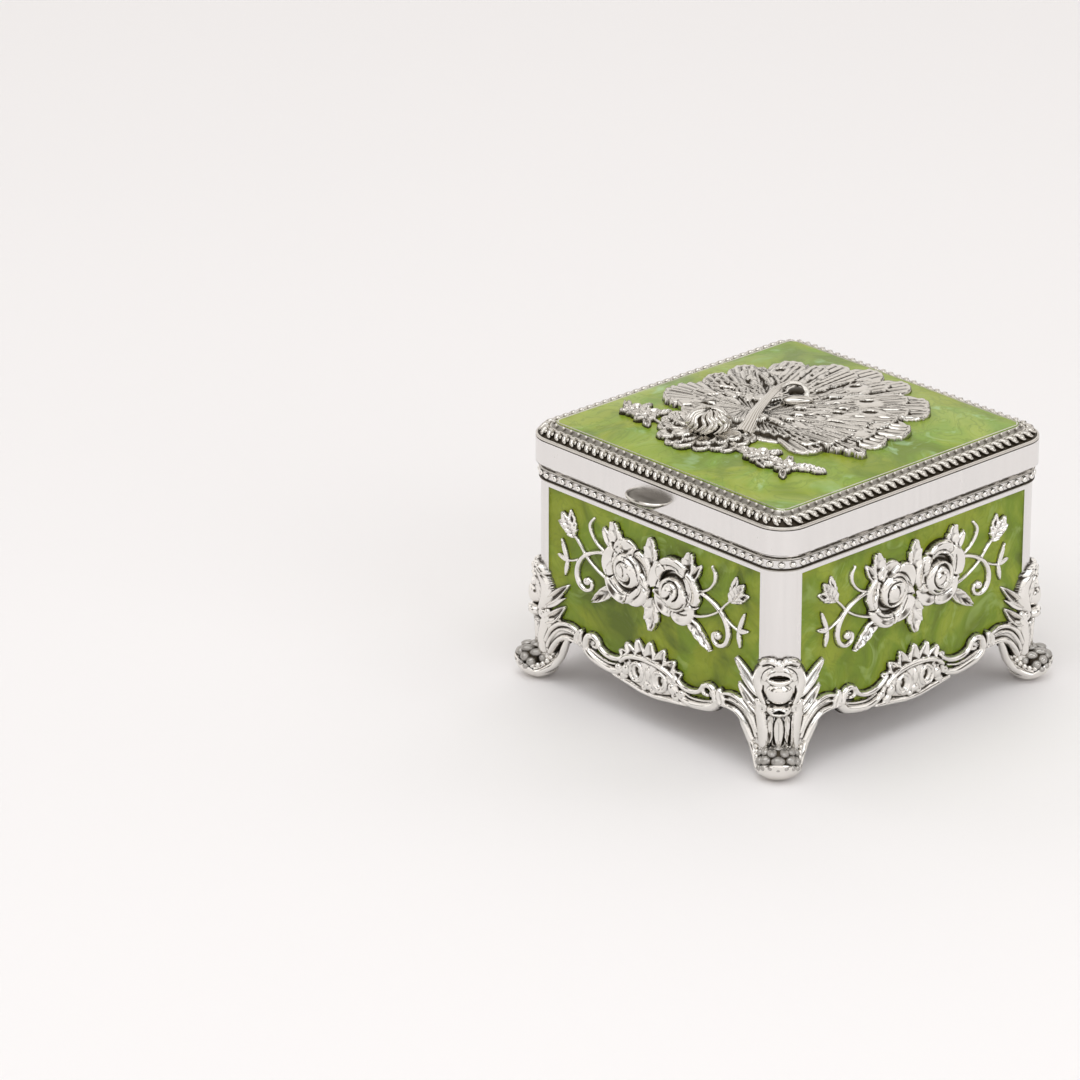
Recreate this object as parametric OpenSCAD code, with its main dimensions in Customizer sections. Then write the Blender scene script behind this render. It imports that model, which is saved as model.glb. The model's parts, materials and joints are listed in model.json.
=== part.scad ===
// Square footed trinket box with a hinged lid, enamel panels and cast silver ornament.
// Millimetres, +Z up. The front, with the thumb tab, faces -Y. The hinge is at the back.

/* [Lid] */
// Width of the lid, side to side
lid_w = 96; // [95:0.5:98]
// Depth of the lid, front to back
lid_d = 100; // [99:0.5:102]
// Radius of the lid's upright corners
lid_r = 8.3; // [8:0.1:9]
// Height of the lid's plain band
band_h = 6.8; // [6.5:0.1:7.5]
// Thickness of the band
band_t = 2.1; // [1.8:0.1:2.3]
// Width of the sloped border between the band and the enamel
border_w = 5.65; // [5.2:0.05:6]
// Rise of the sloped border
border_h = 3.8; // [3.4:0.1:4.2]
// Height of the enamel's crown above the border
crown_h = 2; // [1.6:0.1:2.4]
// Radius of the enamel's shallow dome
crown_r = 700; // [600:10:900]

/* [Body] */
// Height of the body's shoulder, where the lid closes
shoulder_z = 61.4; // [60:0.2:63]
// How far the body's walls stand in from the lid's band
body_in = 1.25; // [1:0.05:1.4]
// Radius of the body's upright corners
body_r = 7.5; // [7:0.1:8]
// Thickness of the cast walls
wall_t = 2.8; // [2.6:0.1:3]
// Thickness of the cast floor
floor_t = 2.5; // [2.2:0.1:3]
// Height of the floor's underside above the table
floor_z = 15.5; // [15:0.1:16]
// Height of the locating lip inside the lid
lip_h = 1.8; // [1.4:0.1:2]

/* [Panels] */
// Height of the top of the enamel panels
panel_z = 55.6; // [55:0.1:56]
// Depth of the panel recess
recess_d = 1.2; // [1:0.1:1.3]
// Thickness of the enamel in the recess
enamel_t = 0.7; // [0.5:0.1:0.8]
// Distance of each rose from the middle of its panel
rose_x = 8.7; // [8:0.1:9.5]
// Height of the roses above the table
rose_z = 42; // [40:0.5:44]
// Radius of a rose
rose_r = 9; // [8:0.1:9.5]

/* [Feet] */
// Distance from the corner's centre to the tip of the toe
toe_reach = 14.6; // [14:0.1:15]
// Width of a foot
foot_w = 9; // [8:0.1:10]
// Radius of the ball in the toe's curl
ball_r = 3.9; // [3.6:0.1:4]
// Radius of the scrolled hood on the corner post
hood_r = 6.5; // [6:0.1:6.8]

/* [Hinge] */
// Length of the hinge
hinge_l = 29; // [26:0.5:30]
// Outer radius of the knuckles
knuckle_r = 1.25; // [1.2:0.05:1.35]
// Radius of the hinge pin
pin_r = 0.6; // [0.5:0.05:0.65]
// Radial clearance of the pin in the knuckles
pin_gap = 0.05; // [0.03:0.01:0.08]
// Thickness of the hinge leaves
leaf_t = 0.7; // [0.6:0.1:0.8]

/* [Hidden] */
$fn = 48;
body_w = lid_w - 2 * body_in;
body_d = lid_d - 2 * body_in;
lid_z = shoulder_z + 0.2;
band_z = lid_z + band_h;
border_z = band_z + border_h;
crown_z = border_z + crown_h;
plateau_in = border_w + 0.05;
plateau_h = 2.6;
roof_t = 1.4;
pad_t = 1.2;
lip_in = band_t + 0.5 - body_in;
bead_z = shoulder_z - 2.75;
bead_r = 1;
drop_z = 12.2;
drop_w = 20;
sill_z = 17;
apron_t = 1.8;
face_z = -recess_d + enamel_t;
knuckles = 5;
pitch = hinge_l / knuckles;
knuckle_l = pitch - 0.2;
axis_out = 1.6;
axis_z = shoulder_z + 0.05;
tab_reach = 5.4;
tab_r = 7.2;
tab_z = lid_z + 2.6;
tab_t = 1.7;
screw_r = 1;
head_r = 2;
fan_x = -0.5;
fan_y = 6;
fan_r = 30;
lobe_r = 5;
silver = [0.86, 0.86, 0.85];
antique = [0.62, 0.61, 0.58];
green = [0.36, 0.5, 0.12];
lime = [0.47, 0.62, 0.15];
velvet = [0.12, 0.1, 0.1];
steel = [0.6, 0.6, 0.62];

// How far the back toes reach behind the middle of the body
toe_y = body_d / 2 - body_r + (toe_reach - foot_w / 2) * cos(45) + foot_w / 2;
// The front thumb tab reaches further than the back toes; this shift centres the whole outline
centre_y = (lid_d / 2 + tab_reach - toe_y) / 2;

SIDES = ["front", "right", "back", "left"];

// Every piece is drawn about the body's middle, then moved so that the outline is centred
module seat() {
    translate([0, centre_y, 0]) children();
}

module rounded(w, d, r) {
    square([w - 2 * r, d], center = true);
    square([w, d - 2 * r], center = true);
    for (x = [-1, 1], y = [-1, 1]) {
        translate([x * (w / 2 - r), y * (d / 2 - r)]) circle(r);
    }
}

// A board with rounded corners between two heights
module slab(w, d, r, z0, z1) {
    translate([0, 0, z0]) linear_extrude(z1 - z0) rounded(w, d, r);
}

// Sweeps a profile round a rounded rectangle: the profile's X is outward from the outline
module swept_frame(w, d, r) {
    for (k = [0:3]) {
        a = k % 2 == 0 ? w : d;
        b = k % 2 == 0 ? d : w;
        rotate([0, 0, 90 * k]) {
            translate([a / 2, b / 2 - r, 0]) rotate([90, 0, 0]) linear_extrude(b - 2 * r) children();
            translate([a / 2 - r, b / 2 - r, 0])
                rotate_extrude(angle = 90) translate([r, 0]) children();
        }
    }
}

// Local X runs along the wall, Y is up and Z is outward; side 0 is the front, then anticlockwise
module on_side(k) {
    reach = k % 2 == 0 ? body_d / 2 : body_w / 2;
    rotate([0, 0, 90 * k]) translate([0, -reach, 0]) rotate([90, 0, 0]) children();
}

// Half the width of the panel on side k
function panel_half(k) = (k % 2 == 0 ? body_w : body_d) / 2 - body_r;

// A strip t wide that follows a circle of radius r from angle a0 to angle a1
module ring_arc(r, t, a0, a1) {
    step = (a1 - a0) / 8;
    intersection() {
        difference() {
            circle(r + t / 2);
            circle(r - t / 2);
        }
        polygon(concat(
            [[0, 0]],
            [for (i = [0:8]) 3 * r * [cos(a0 + i * step), sin(a0 + i * step)]]
        ));
    }
}

// A pointed leaf from the origin along +Y
module leaf(l, w) {
    r = (l * l / 4 + w * w / 4) / w;
    intersection() {
        translate([r - w / 2, l / 2]) circle(r);
        translate([w / 2 - r, l / 2]) circle(r);
    }
}

// The enamel panel, with a part that reaches lower behind the middle of the apron
module panel_outline(k) {
    h = panel_half(k);
    translate([-h, sill_z]) square([2 * h, panel_z - sill_z]);
    drop_plate(sill_z + 1);
}

module drop_plate(top) {
    polygon([[-drop_w - 2, top], [-drop_w, drop_z], [drop_w, drop_z], [drop_w + 2, top]]);
}

module screw_places() {
    for (x = [-1, 1], y = [-1, 1]) {
        translate([x * (body_w / 2 - body_r), y * (body_d / 2 - body_r), 0]) children();
    }
}

module tub_outer() {
    slab(body_w, body_d, body_r, floor_z, shoulder_z);
}

module body_tub() {
    seat() color(silver) difference() {
        union() {
            tub_outer();
            slab(
                body_w - 2 * lip_in, body_d - 2 * lip_in, body_r - lip_in,
                shoulder_z - 1, shoulder_z + lip_h
            );
            for (k = [0:3]) {
                on_side(k) translate([0, 0, -wall_t])
                    linear_extrude(wall_t - recess_d) drop_plate(floor_z + 1);
            }
        }
        slab(body_w - 2 * wall_t, body_d - 2 * wall_t, body_r - wall_t, floor_z + floor_t, crown_z);
        for (k = [0:3]) {
            on_side(k) translate([0, 0, -recess_d]) linear_extrude(recess_d + 1) panel_outline(k);
        }
        screw_places() {
            translate([0, 0, floor_z - 1]) cylinder(r = screw_r + 0.1, h = floor_t + 2);
            translate([0, 0, floor_z + floor_t - 1.2]) cylinder(r = head_r + 0.1, h = 2);
        }
    }
}

module bead_rim() {
    seat() color(silver) difference() {
        swept_frame(body_w, body_d, body_r) intersection() {
            union() {
                translate([0, bead_z]) circle(bead_r);
                translate([0, bead_z - 1.4]) square([0.5, 2.8]);
            }
            translate([0, bead_z - 2]) square([2, 4]);
        }
        on_side(2) translate([-hinge_l / 2 - 0.5, bead_z - 3, -1]) cube([hinge_l + 1, 6, 4]);
    }
}

module enamel_panel(k) {
    seat() color(green) on_side(k) translate([0, 0, -recess_d])
        linear_extrude(enamel_t) panel_outline(k);
}

module rose() {
    cylinder(r = rose_r, h = 1.4);
    cylinder(r = rose_r * 0.8, h = 2.1);
    cylinder(r = rose_r * 0.55, h = 2.8);
    cylinder(r = rose_r * 0.28, h = 3.3);
}

// Half of a spray's stalks, curls and buds, drawn from the middle of the panel outward
module tendril() {
    translate([22.3, -6]) ring_arc(5.8, 1, -62, 100);
    translate([24.2, -9.8]) circle(1.7);
    translate([18.2, 5.7]) ring_arc(4.9, 0.9, -100, 38);
    translate([15, -6]) rotate(-66) leaf(12, 1);
    translate([14, 0]) rotate(-88) leaf(11, 1.2);
    translate([25, -1.6]) rotate(-118) leaf(9, 0.9);
    translate([24.5, -2]) rotate(-50) leaf(8.5, 1);
    translate([29.6, 2]) rotate(-28) leaf(7, 5);
    translate([32, -5]) rotate(-15) leaf(5, 1.6);
    translate([32, -5]) rotate(-92) leaf(5, 1.6);
    translate([32, -4.4]) rotate(-165) leaf(5, 1.4);
}

module spray_outline() {
    for (s = [0, 1]) {
        mirror([s, 0]) {
            tendril();
            translate([13.5, 2]) rotate(-18) leaf(9, 5);
            translate([13, -7]) rotate(-125) leaf(10.5, 4.4);
        }
    }
    leaf(11, 5);
    translate([0, -2]) mirror([0, 1]) leaf(13, 5.4);
}

module spray(k) {
    seat() color(silver) on_side(k) translate([0, rose_z, face_z]) {
        linear_extrude(0.9) spray_outline();
        for (s = [-1, 1]) {
            translate([s * rose_x, -1, 0]) rose();
        }
    }
}

module apron_half(k) {
    h = panel_half(k);
    translate([h - 9.8, 7.6]) ring_arc(9.5, 3.4, 28, 130);
    translate([h - 22.4, 17.4]) ring_arc(5.6, 1.8, 180, 368);
    translate([h - 17.4, 17.1]) circle(1.7);
    translate([h - 26, 21]) ring_arc(5.6, 1.5, 215, 325);
    polygon([[0, 9.4], [7, 10], [h - 26, 11.4], [h - 29.7, 15.8], [0, 18]]);
    translate([0, 14.6]) for (a = [18:18:90]) {
        translate([7.2 * cos(a), 7.2 * sin(a)]) circle(1.35);
    }
}

module apron_outline(k) {
    translate([0, 15.4]) circle(6.2);
    apron_half(k);
    mirror([1, 0]) apron_half(k);
}

module apron(k) {
    seat() color(silver) on_side(k) {
        linear_extrude(apron_t) apron_outline(k);
        translate([0, 0, face_z]) linear_extrude(-face_z) intersection() {
            apron_outline(k);
            panel_outline(k);
        }
        translate([0, 13, apron_t - 0.4]) cylinder(r = 1.3, h = 1);
    }
}

// The foot's side view: X is outward from the centre of the corner, Y is up
module foot_profile() {
    polygon([
        [-4.5, floor_z], [-4.5, 9.5], [-1.8, 9.3], [1.2, 5], [3.2, 2.2], [6, 0.4], [7.6, 0],
        [12.4, 0], [14.2, 1.8], [toe_reach, 4.4], [13.4, 5.4], [10.5, 3.4], [7.6, 5.6],
        [6.8, 9], [7.3, 14], [8.3, 16.5], [8.6, 22], [9.2, 26], [8.6, 30], [7, 32],
        [3, 32], [3, floor_z]
    ]);
}

// The toe is round in plan
module toe_plan() {
    translate([-20, -foot_w / 2, -1]) cube([20 + toe_reach - foot_w / 2, foot_w, 40]);
    translate([toe_reach - foot_w / 2, 0, -1]) cylinder(r = foot_w / 2, h = 40);
}

// One foot with its leg and hood, drawn at the centre of its corner and reaching along +X
module foot_casting() {
    difference() {
        union() {
            intersection() {
                rotate([90, 0, 0]) translate([0, 0, -foot_w / 2])
                    linear_extrude(foot_w) foot_profile();
                toe_plan();
            }
            translate([2.8, 0, 20.5]) cylinder(r = hood_r, h = 5.5);
            translate([2.8, 0, 26]) sphere(hood_r);
            translate([7.2, 0, 18.4]) sphere(2.6);
            translate([toe_reach - ball_r, 0, 4.9]) sphere(ball_r);
        }
        translate([0, 0, 10.4]) cylinder(r = screw_r + 0.05, h = 8);
    }
}

// Corner 0 is the front right, then anticlockwise from above
module foot(i) {
    x = (i < 2 ? 1 : -1) * (body_w / 2 - body_r);
    y = (i % 3 == 0 ? -1 : 1) * (body_d / 2 - body_r);
    seat() color(silver) difference() {
        translate([x, y, 0]) rotate([0, 0, -45 + 90 * i]) foot_casting();
        tub_outer();
    }
}

module foot_screws() {
    seat() color(steel) screw_places() {
        translate([0, 0, 10.6]) cylinder(r = screw_r, h = floor_z + floor_t - 10.6 - 0.6);
        difference() {
            translate([0, 0, floor_z + floor_t - 1.15]) cylinder(r = head_r, h = 1.1);
            translate([-head_r, -0.25, floor_z + floor_t - 0.5]) cube([2 * head_r, 0.5, 1]);
        }
    }
}

module lining_floor() {
    m = wall_t + 0.3;
    z0 = floor_z + floor_t + 0.05;
    seat() color(velvet) slab(body_w - 2 * m, body_d - 2 * m, body_r - m, z0, z0 + 2.35);
}

module lining_wall(k) {
    half = panel_half(k) - (k % 2 == 0 ? 0 : pad_t + 0.3);
    z0 = floor_z + floor_t + 2.6;
    seat() color(velvet) on_side(k) translate([-half, z0, -wall_t - pad_t - 0.05])
        cube([2 * half, shoulder_z - 1 - z0, pad_t]);
}

module lining_lid() {
    m = plateau_in + roof_t + 0.4;
    z1 = band_z + plateau_h - roof_t - 0.05;
    seat() color(velvet) slab(lid_w - 2 * m, lid_d - 2 * m, 1, z1 - pad_t, z1);
}

// Places its children at every second knuckle, starting with the one numbered first
module knuckle_row(first) {
    for (i = [first:2:knuckles - 1]) {
        translate([(i - (knuckles - 1) / 2) * pitch, 0, 0]) children();
    }
}

// A round bar along the hinge's axis, in the frame of the back wall
module axle(r, length) {
    translate([-length / 2, axis_z, axis_out]) rotate([0, 90, 0]) cylinder(r = r, h = length);
}

module hinge_leaf_body() {
    seat() color(silver) on_side(2) difference() {
        union() {
            translate([-hinge_l / 2, shoulder_z - 5, 0]) cube([hinge_l, 3.6, leaf_t]);
            knuckle_row(0) {
                axle(knuckle_r, knuckle_l);
                translate([-knuckle_l / 2, shoulder_z - 2, 0]) cube([knuckle_l, 2, leaf_t + 0.2]);
            }
        }
        axle(pin_r + pin_gap, 2 * hinge_l);
    }
}

module hinge_leaf_lid() {
    seat() color(silver) on_side(2) difference() {
        union() {
            translate([-hinge_l / 2, axis_z + knuckle_r + 0.15, body_in])
                cube([hinge_l, 4.7, leaf_t]);
            knuckle_row(1) {
                axle(knuckle_r, knuckle_l);
                translate([-knuckle_l / 2, axis_z, body_in]) cube([knuckle_l, 2, leaf_t]);
            }
        }
        axle(pin_r + pin_gap, 2 * hinge_l);
    }
}

module hinge_pin() {
    seat() color(steel) on_side(2) axle(pin_r, hinge_l);
}

// The plain band with its roof, open below, and notched at the back for the hinge
module lid_frame() {
    hollow_in = plateau_in + roof_t;
    m = plateau_in;
    seat() color(silver) difference() {
        union() {
            slab(lid_w, lid_d, lid_r, lid_z, band_z);
            slab(lid_w - 2 * m, lid_d - 2 * m, lid_r - m, band_z - 0.5, band_z + plateau_h);
        }
        slab(lid_w - 2 * band_t, lid_d - 2 * band_t, lid_r - band_t, lid_z - 1, band_z - roof_t);
        slab(
            lid_w - 2 * hollow_in, lid_d - 2 * hollow_in, 1,
            lid_z, band_z + plateau_h - roof_t
        );
        on_side(2) translate([-hinge_l / 2 - 0.4, lid_z - 1, -2])
            cube([hinge_l + 0.8, 2.7, 6]);
    }
}

module lid_border() {
    seat() color(antique) swept_frame(lid_w, lid_d, lid_r) polygon([
        [-0.2, band_z], [-0.2, band_z + 0.7], [-0.9, band_z + 0.8], [-1.4, band_z + 1.7],
        [-3.2, band_z + 2.6], [-4.8, band_z + 3.6], [-5.2, border_z],
        [-border_w, border_z], [-border_w, band_z]
    ]);
}

// The dome is turned from short straight steps that follow its radius
module dome() {
    rotate_extrude($fn = 96) polygon(concat(
        [[0, crown_z - 12]],
        [for (x = [0:8:72]) [x, crown_z - x * x / (2 * crown_r)]],
        [[72, crown_z - 12]]
    ));
}

module lid_enamel() {
    m = plateau_in;
    seat() color(lime) intersection() {
        slab(lid_w - 2 * m, lid_d - 2 * m, lid_r - m, band_z + plateau_h, crown_z + 1);
        dome();
    }
}

module thumb_tab() {
    seat() color(silver) difference() {
        translate([0, -lid_d / 2 + tab_r - tab_reach, tab_z]) cylinder(r = tab_r, h = tab_t);
        translate([0, -lid_d / 2 - 1.6, tab_z + tab_t + 7.6]) sphere(8.6);
        translate([-lid_w / 2, -lid_d / 2, 0]) cube([lid_w, lid_d, crown_z]);
    }
}

// A scalloped fan that covers 230 degrees, with lobes along its edge
module tail_layer(r, lobes, z) {
    translate([fan_x, fan_y, z - 3]) linear_extrude(3) {
        circle(r);
        for (i = [0:lobes]) {
            rotate(-25 + 230 * i / lobes) translate([r, 0]) circle(lobe_r);
        }
    }
}

module peacock_tail() {
    seat() color(antique) difference() {
        union() {
            tail_layer(fan_r, 13, crown_z + 0.6);
            tail_layer(fan_r - 8, 10, crown_z + 1.3);
            tail_layer(fan_r - 15, 7, crown_z + 2);
        }
        dome();
        translate([0, 0, crown_z - 4]) cylinder(r = 3, h = 3);
    }
}

// The neck rises from the middle of the fan, arches over and ends in the crested head
module peacock_body() {
    seat() color(antique) translate([-1, 2, 0]) {
        translate([0, 0, crown_z + 2]) cylinder(r = 4, h = 1.6);
        translate([0, 0, crown_z + 2]) cylinder(r = 1.6, h = 3);
        translate([2.2, 0, crown_z + 4.4]) rotate([90, 0, 0])
            rotate_extrude(angle = 180) translate([2.2, 0]) circle(1.2);
        translate([4.4, 0, crown_z + 3.4]) sphere(1.4);
    }
}

module peony() {
    seat() color(antique) translate([-9, -22, 0]) difference() {
        union() {
            translate([0, 0, crown_z - 1]) cylinder(r = 7.5, h = 2.2);
            translate([0, 0, crown_z - 1.5]) sphere(6.4);
        }
        translate([9, 22, 0]) dome();
        translate([9 + fan_x, 22 + fan_y, crown_z - 3])
            cylinder(r = fan_r + lobe_r + 0.1, h = 3.7);
    }
}

module lid_leaves() {
    seat() color(antique) difference() {
        translate([0, 0, crown_z - 2]) linear_extrude(2.6) {
            for (i = [-4:4]) {
                translate([7 * i + 1, -35 + 0.35 * i * i]) rotate(i * 25) leaf(7, 4.5);
                translate([7 * i + 1, -35 + 0.35 * i * i]) circle(2.4);
            }
        }
        dome();
        translate([fan_x, fan_y, crown_z - 4]) cylinder(r = fan_r + lobe_r + 0.1, h = 6);
        translate([-9, -22, crown_z - 4]) cylinder(r = 7.6, h = 6);
    }
}

body_tub();
bead_rim();
for (k = [0:3]) {
    enamel_panel(k);
    spray(k);
    apron(k);
    lining_wall(k);
}
foot(0);  // foot_front_right
foot(1);  // foot_back_right
foot(2);  // foot_back_left
foot(3);  // foot_front_left
foot_screws();
lining_floor();
hinge_leaf_body();
hinge_pin();
hinge_leaf_lid();
lid_frame();
lid_border();
lid_enamel();
lining_lid();
thumb_tab();
peacock_tail();
peacock_body();
peony();
lid_leaves();
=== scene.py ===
import json
import math

import bmesh
import bpy
import numpy as np
from mathutils import Matrix, Vector


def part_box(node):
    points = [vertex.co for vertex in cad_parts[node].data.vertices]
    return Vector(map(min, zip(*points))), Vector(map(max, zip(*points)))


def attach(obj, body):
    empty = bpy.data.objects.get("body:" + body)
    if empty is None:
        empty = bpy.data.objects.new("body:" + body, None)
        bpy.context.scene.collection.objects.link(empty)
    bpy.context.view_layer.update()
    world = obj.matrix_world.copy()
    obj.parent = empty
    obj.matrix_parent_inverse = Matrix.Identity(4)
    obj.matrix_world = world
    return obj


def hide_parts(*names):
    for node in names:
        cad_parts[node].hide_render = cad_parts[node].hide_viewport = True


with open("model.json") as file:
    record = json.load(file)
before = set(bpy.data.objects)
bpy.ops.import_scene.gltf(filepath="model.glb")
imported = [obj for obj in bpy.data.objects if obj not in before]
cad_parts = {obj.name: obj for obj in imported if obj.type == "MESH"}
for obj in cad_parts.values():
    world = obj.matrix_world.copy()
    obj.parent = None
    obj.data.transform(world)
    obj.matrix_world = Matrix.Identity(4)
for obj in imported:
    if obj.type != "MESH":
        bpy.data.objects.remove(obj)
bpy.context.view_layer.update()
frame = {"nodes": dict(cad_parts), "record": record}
mm = 0.001


def nodeBox(name):
    low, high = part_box(name)
    return np.array(low) / mm, np.array(high) / mm


# Everything below is in millimetres about the body's middle; makePiece turns it into metres
tubLow, tubHigh = nodeBox("body_tub")
midY = (tubLow[1] + tubHigh[1]) / 2
bodyHalfW, bodyHalfD = (tubHigh - tubLow)[:2] / 2
frameLow, frameHigh = nodeBox("lid_frame")
lidHalfW = frameHigh[0]
lidHalfD = (frameHigh[1] - frameLow[1]) / 2
lidZ = frameLow[2]
borderLow, borderHigh = nodeBox("lid_border")
bandZ, borderZ = borderLow[2], borderHigh[2]
enamelLow, enamelHigh = nodeBox("lid_enamel")
enamelHalfW = enamelHigh[0]
enamelHalfD = (enamelHigh[1] - enamelLow[1]) / 2
crownZ = enamelHigh[2]
panelLow, panelHigh = nodeBox("enamel_front")
panelTop = panelHigh[2]
enamelSink = bodyHalfD + (panelLow[1] - midY)   # how far the enamel lies behind the wall's face
beadLow, beadHigh = nodeBox("bead_rim")
beadZ = (beadLow[2] + beadHigh[2]) / 2
bodyR = 7.5    # radius of the body's upright corners
lidR = 8.3     # and of the lid's
sideTurns = {"front": 0, "right": 90, "back": 180, "left": 270}
print("places read from the frame", midY, bodyHalfW, bodyHalfD, lidZ, bandZ, borderZ, crownZ)

# A long lens from the front right corner, a little above the lid
cameraSetup = {
    "azimuth": 47.1,      # degrees round from the front
    "elevation": 22.63,
    "lens": 200,          # millimetres, on a 36 mm sensor
    "distance": 1596,     # to the body's middle at the table
    "aside": -64.7,       # how far the camera stands off that line, to its right and up
    "above": 35.7,
}
# White studio that fills in from all sides, with two soft panels
lightSetup = {
    "world": (1.0, 0.972, 0.95),
    "worldDark": (0.07, 0.058, 0.045),
    "worldStrength": 1.11,
    "keyPower": 6.6,
    "keyColor": (0.93, 0.965, 1.0),
    "sideShare": 0.55,    # the side panel's power, as a share of the key's
    "floorReach": 9.0,    # metres
    "floorColor": (0.885, 0.868, 0.868),
}


def makeCamera(setup):
    az = math.radians(setup["azimuth"])
    el = math.radians(setup["elevation"])
    back = Vector((math.sin(az) * math.cos(el), -math.cos(az) * math.cos(el), math.sin(el)))
    right = Vector((math.cos(az), math.sin(az), 0))
    up = back.cross(right)
    data = bpy.data.cameras.new("camera")
    data.lens = setup["lens"]
    data.sensor_width = 36
    data.clip_start = 0.05
    data.clip_end = 30
    camera = bpy.data.objects.new("camera", data)
    bpy.context.scene.collection.objects.link(camera)
    place = back * setup["distance"] + right * setup["aside"] + up * setup["above"] + Vector((0, midY, 0))
    camera.matrix_world = Matrix.Translation(place * mm) @ Matrix((right, up, back)).transposed().to_4x4()
    bpy.context.scene.camera = camera


def makeLight(name, place, size, power, color):
    data = bpy.data.lights.new(name, "AREA")
    data.shape = "RECTANGLE"
    data.size, data.size_y = size
    data.energy = power
    data.color = color
    light = bpy.data.objects.new(name, data)
    bpy.context.scene.collection.objects.link(light)
    aim = Vector((0, 0, 0.03)) - Vector(place)
    light.matrix_world = Matrix.Translation(place) @ aim.to_track_quat("-Z", "Y").to_matrix().to_4x4()


makeCamera(cameraSetup)
bpy.context.scene.view_settings.view_transform = "Standard"


# A shader socket that can be written into sums
class Socket:
    def __init__(self, paint, socket):
        self.paint = paint
        self.socket = socket

    def math(self, operation, first, second=None):
        values = [first] if second is None else [first, second]
        return self.paint.add("ShaderNodeMath", {"operation": operation}, dict(enumerate(values)))

    def __add__(self, other):
        return self.math("ADD", self, other)

    def __radd__(self, other):
        return self.math("ADD", other, self)

    def __sub__(self, other):
        return self.math("SUBTRACT", self, other)

    def __rsub__(self, other):
        return self.math("SUBTRACT", other, self)

    def __mul__(self, other):
        return self.math("MULTIPLY", self, other)

    def __rmul__(self, other):
        return self.math("MULTIPLY", other, self)

    def clamp(self):
        return self.math("MINIMUM", self.math("MAXIMUM", self, 0.0), 1.0)


# One material and its nodes
class Paint:
    def __init__(self, name):
        self.material = bpy.data.materials.new(name)
        self.material.use_nodes = True
        self.tree = self.material.node_tree
        self.tree.nodes.clear()

    # Any node: its type, its settings, then the values or links of its sockets
    def add(self, kind, settings=None, values=None, out=0):
        node = self.tree.nodes.new(kind)
        for key, value in (settings or {}).items():
            if key == "stops":
                ramp = node.color_ramp
                while len(ramp.elements) < len(value):
                    ramp.elements.new(0.5)
                for element, (position, color) in zip(ramp.elements, value):
                    element.position = position
                    element.color = (*color, 1)
            else:
                setattr(node, key, value)
        for key, value in (values or {}).items():
            if isinstance(value, Socket):
                self.tree.links.new(value.socket, node.inputs[key])
            else:
                node.inputs[key].default_value = value
        return Socket(self, node.outputs[out])

    def place(self, scale=(1, 1, 1), turn=(0, 0, 0)):
        spot = self.add("ShaderNodeTexCoord", out="Object")
        return self.add("ShaderNodeMapping", None, {"Vector": spot, "Scale": scale, "Rotation": turn})

    def noise(self, vector, scale, detail=4.0, rough=0.55, distortion=0.0, out="Fac"):
        values = {"Vector": vector, "Scale": scale, "Detail": detail, "Roughness": rough,
                  "Distortion": distortion}
        return self.add("ShaderNodeTexNoise", None, values, out)

    def mixColor(self, factor, first, second):
        first = first if isinstance(first, Socket) else (*first, 1)
        second = second if isinstance(second, Socket) else (*second, 1)
        return self.add("ShaderNodeMix", {"data_type": "RGBA"}, {0: factor, 6: first, 7: second}, 2)

    def spread(self, value, low, high):
        return self.add("ShaderNodeMapRange", {"clamp": True}, {0: value, 1: low, 2: high, 3: 0.0, 4: 1.0})

    def bump(self, height, strength, distance):
        values = {"Height": height, "Strength": strength, "Distance": distance}
        return self.add("ShaderNodeBump", None, values)

    def mark(self, name):
        return self.add("ShaderNodeAttribute", {"attribute_name": name}, out="Fac")

    def finish(self, values):
        shader = self.add("ShaderNodeBsdfPrincipled", None, values)
        output = self.tree.nodes.new("ShaderNodeOutputMaterial")
        self.tree.links.new(shader.socket, output.inputs["Surface"])
        return self.material


# Colours of the silver finishes, and of the dark patina in their hollows; the same dark colour is also
# painted shade in the lid's gap and on the legs' side walls
silverLook = {
    "bright": (0.87, 0.845, 0.805),
    "antique": (0.66, 0.63, 0.58),
    "satin": (0.85, 0.83, 0.815),
    "patinaAndShade": (0.038, 0.028, 0.016),
}


def silverPaint(name, color, roughness, patinaAndShadeFrom, patinaAndShadeTo, grain):
    paint = Paint(name)
    spot = paint.place()
    smudge = paint.noise(spot, 90.0, 5.0, 0.6)
    fine = paint.noise(spot, 1500.0, 2.0, 0.5)
    # the recess attribute blends the plate to the dark colour: patina in real hollows, and painted shade
    # where a piece marks shade, as on the legs' side walls
    recess = paint.mark("recess") + (smudge - 0.5) * 0.25
    dark = paint.spread(recess, patinaAndShadeFrom, patinaAndShadeTo)
    plate = paint.mixColor(smudge, tuple(0.93 * c for c in color), color)
    rough = roughness + (smudge - 0.5) * 0.12 + dark * 0.28
    return paint.finish({
        "Base Color": paint.mixColor(dark, plate, silverLook["patinaAndShade"]),
        "Metallic": 1.0 - dark * 0.35,
        "Roughness": rough.clamp(),
        "Normal": paint.bump(fine * 0.4 + smudge * 0.6, grain, 0.00012),
    })


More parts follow.
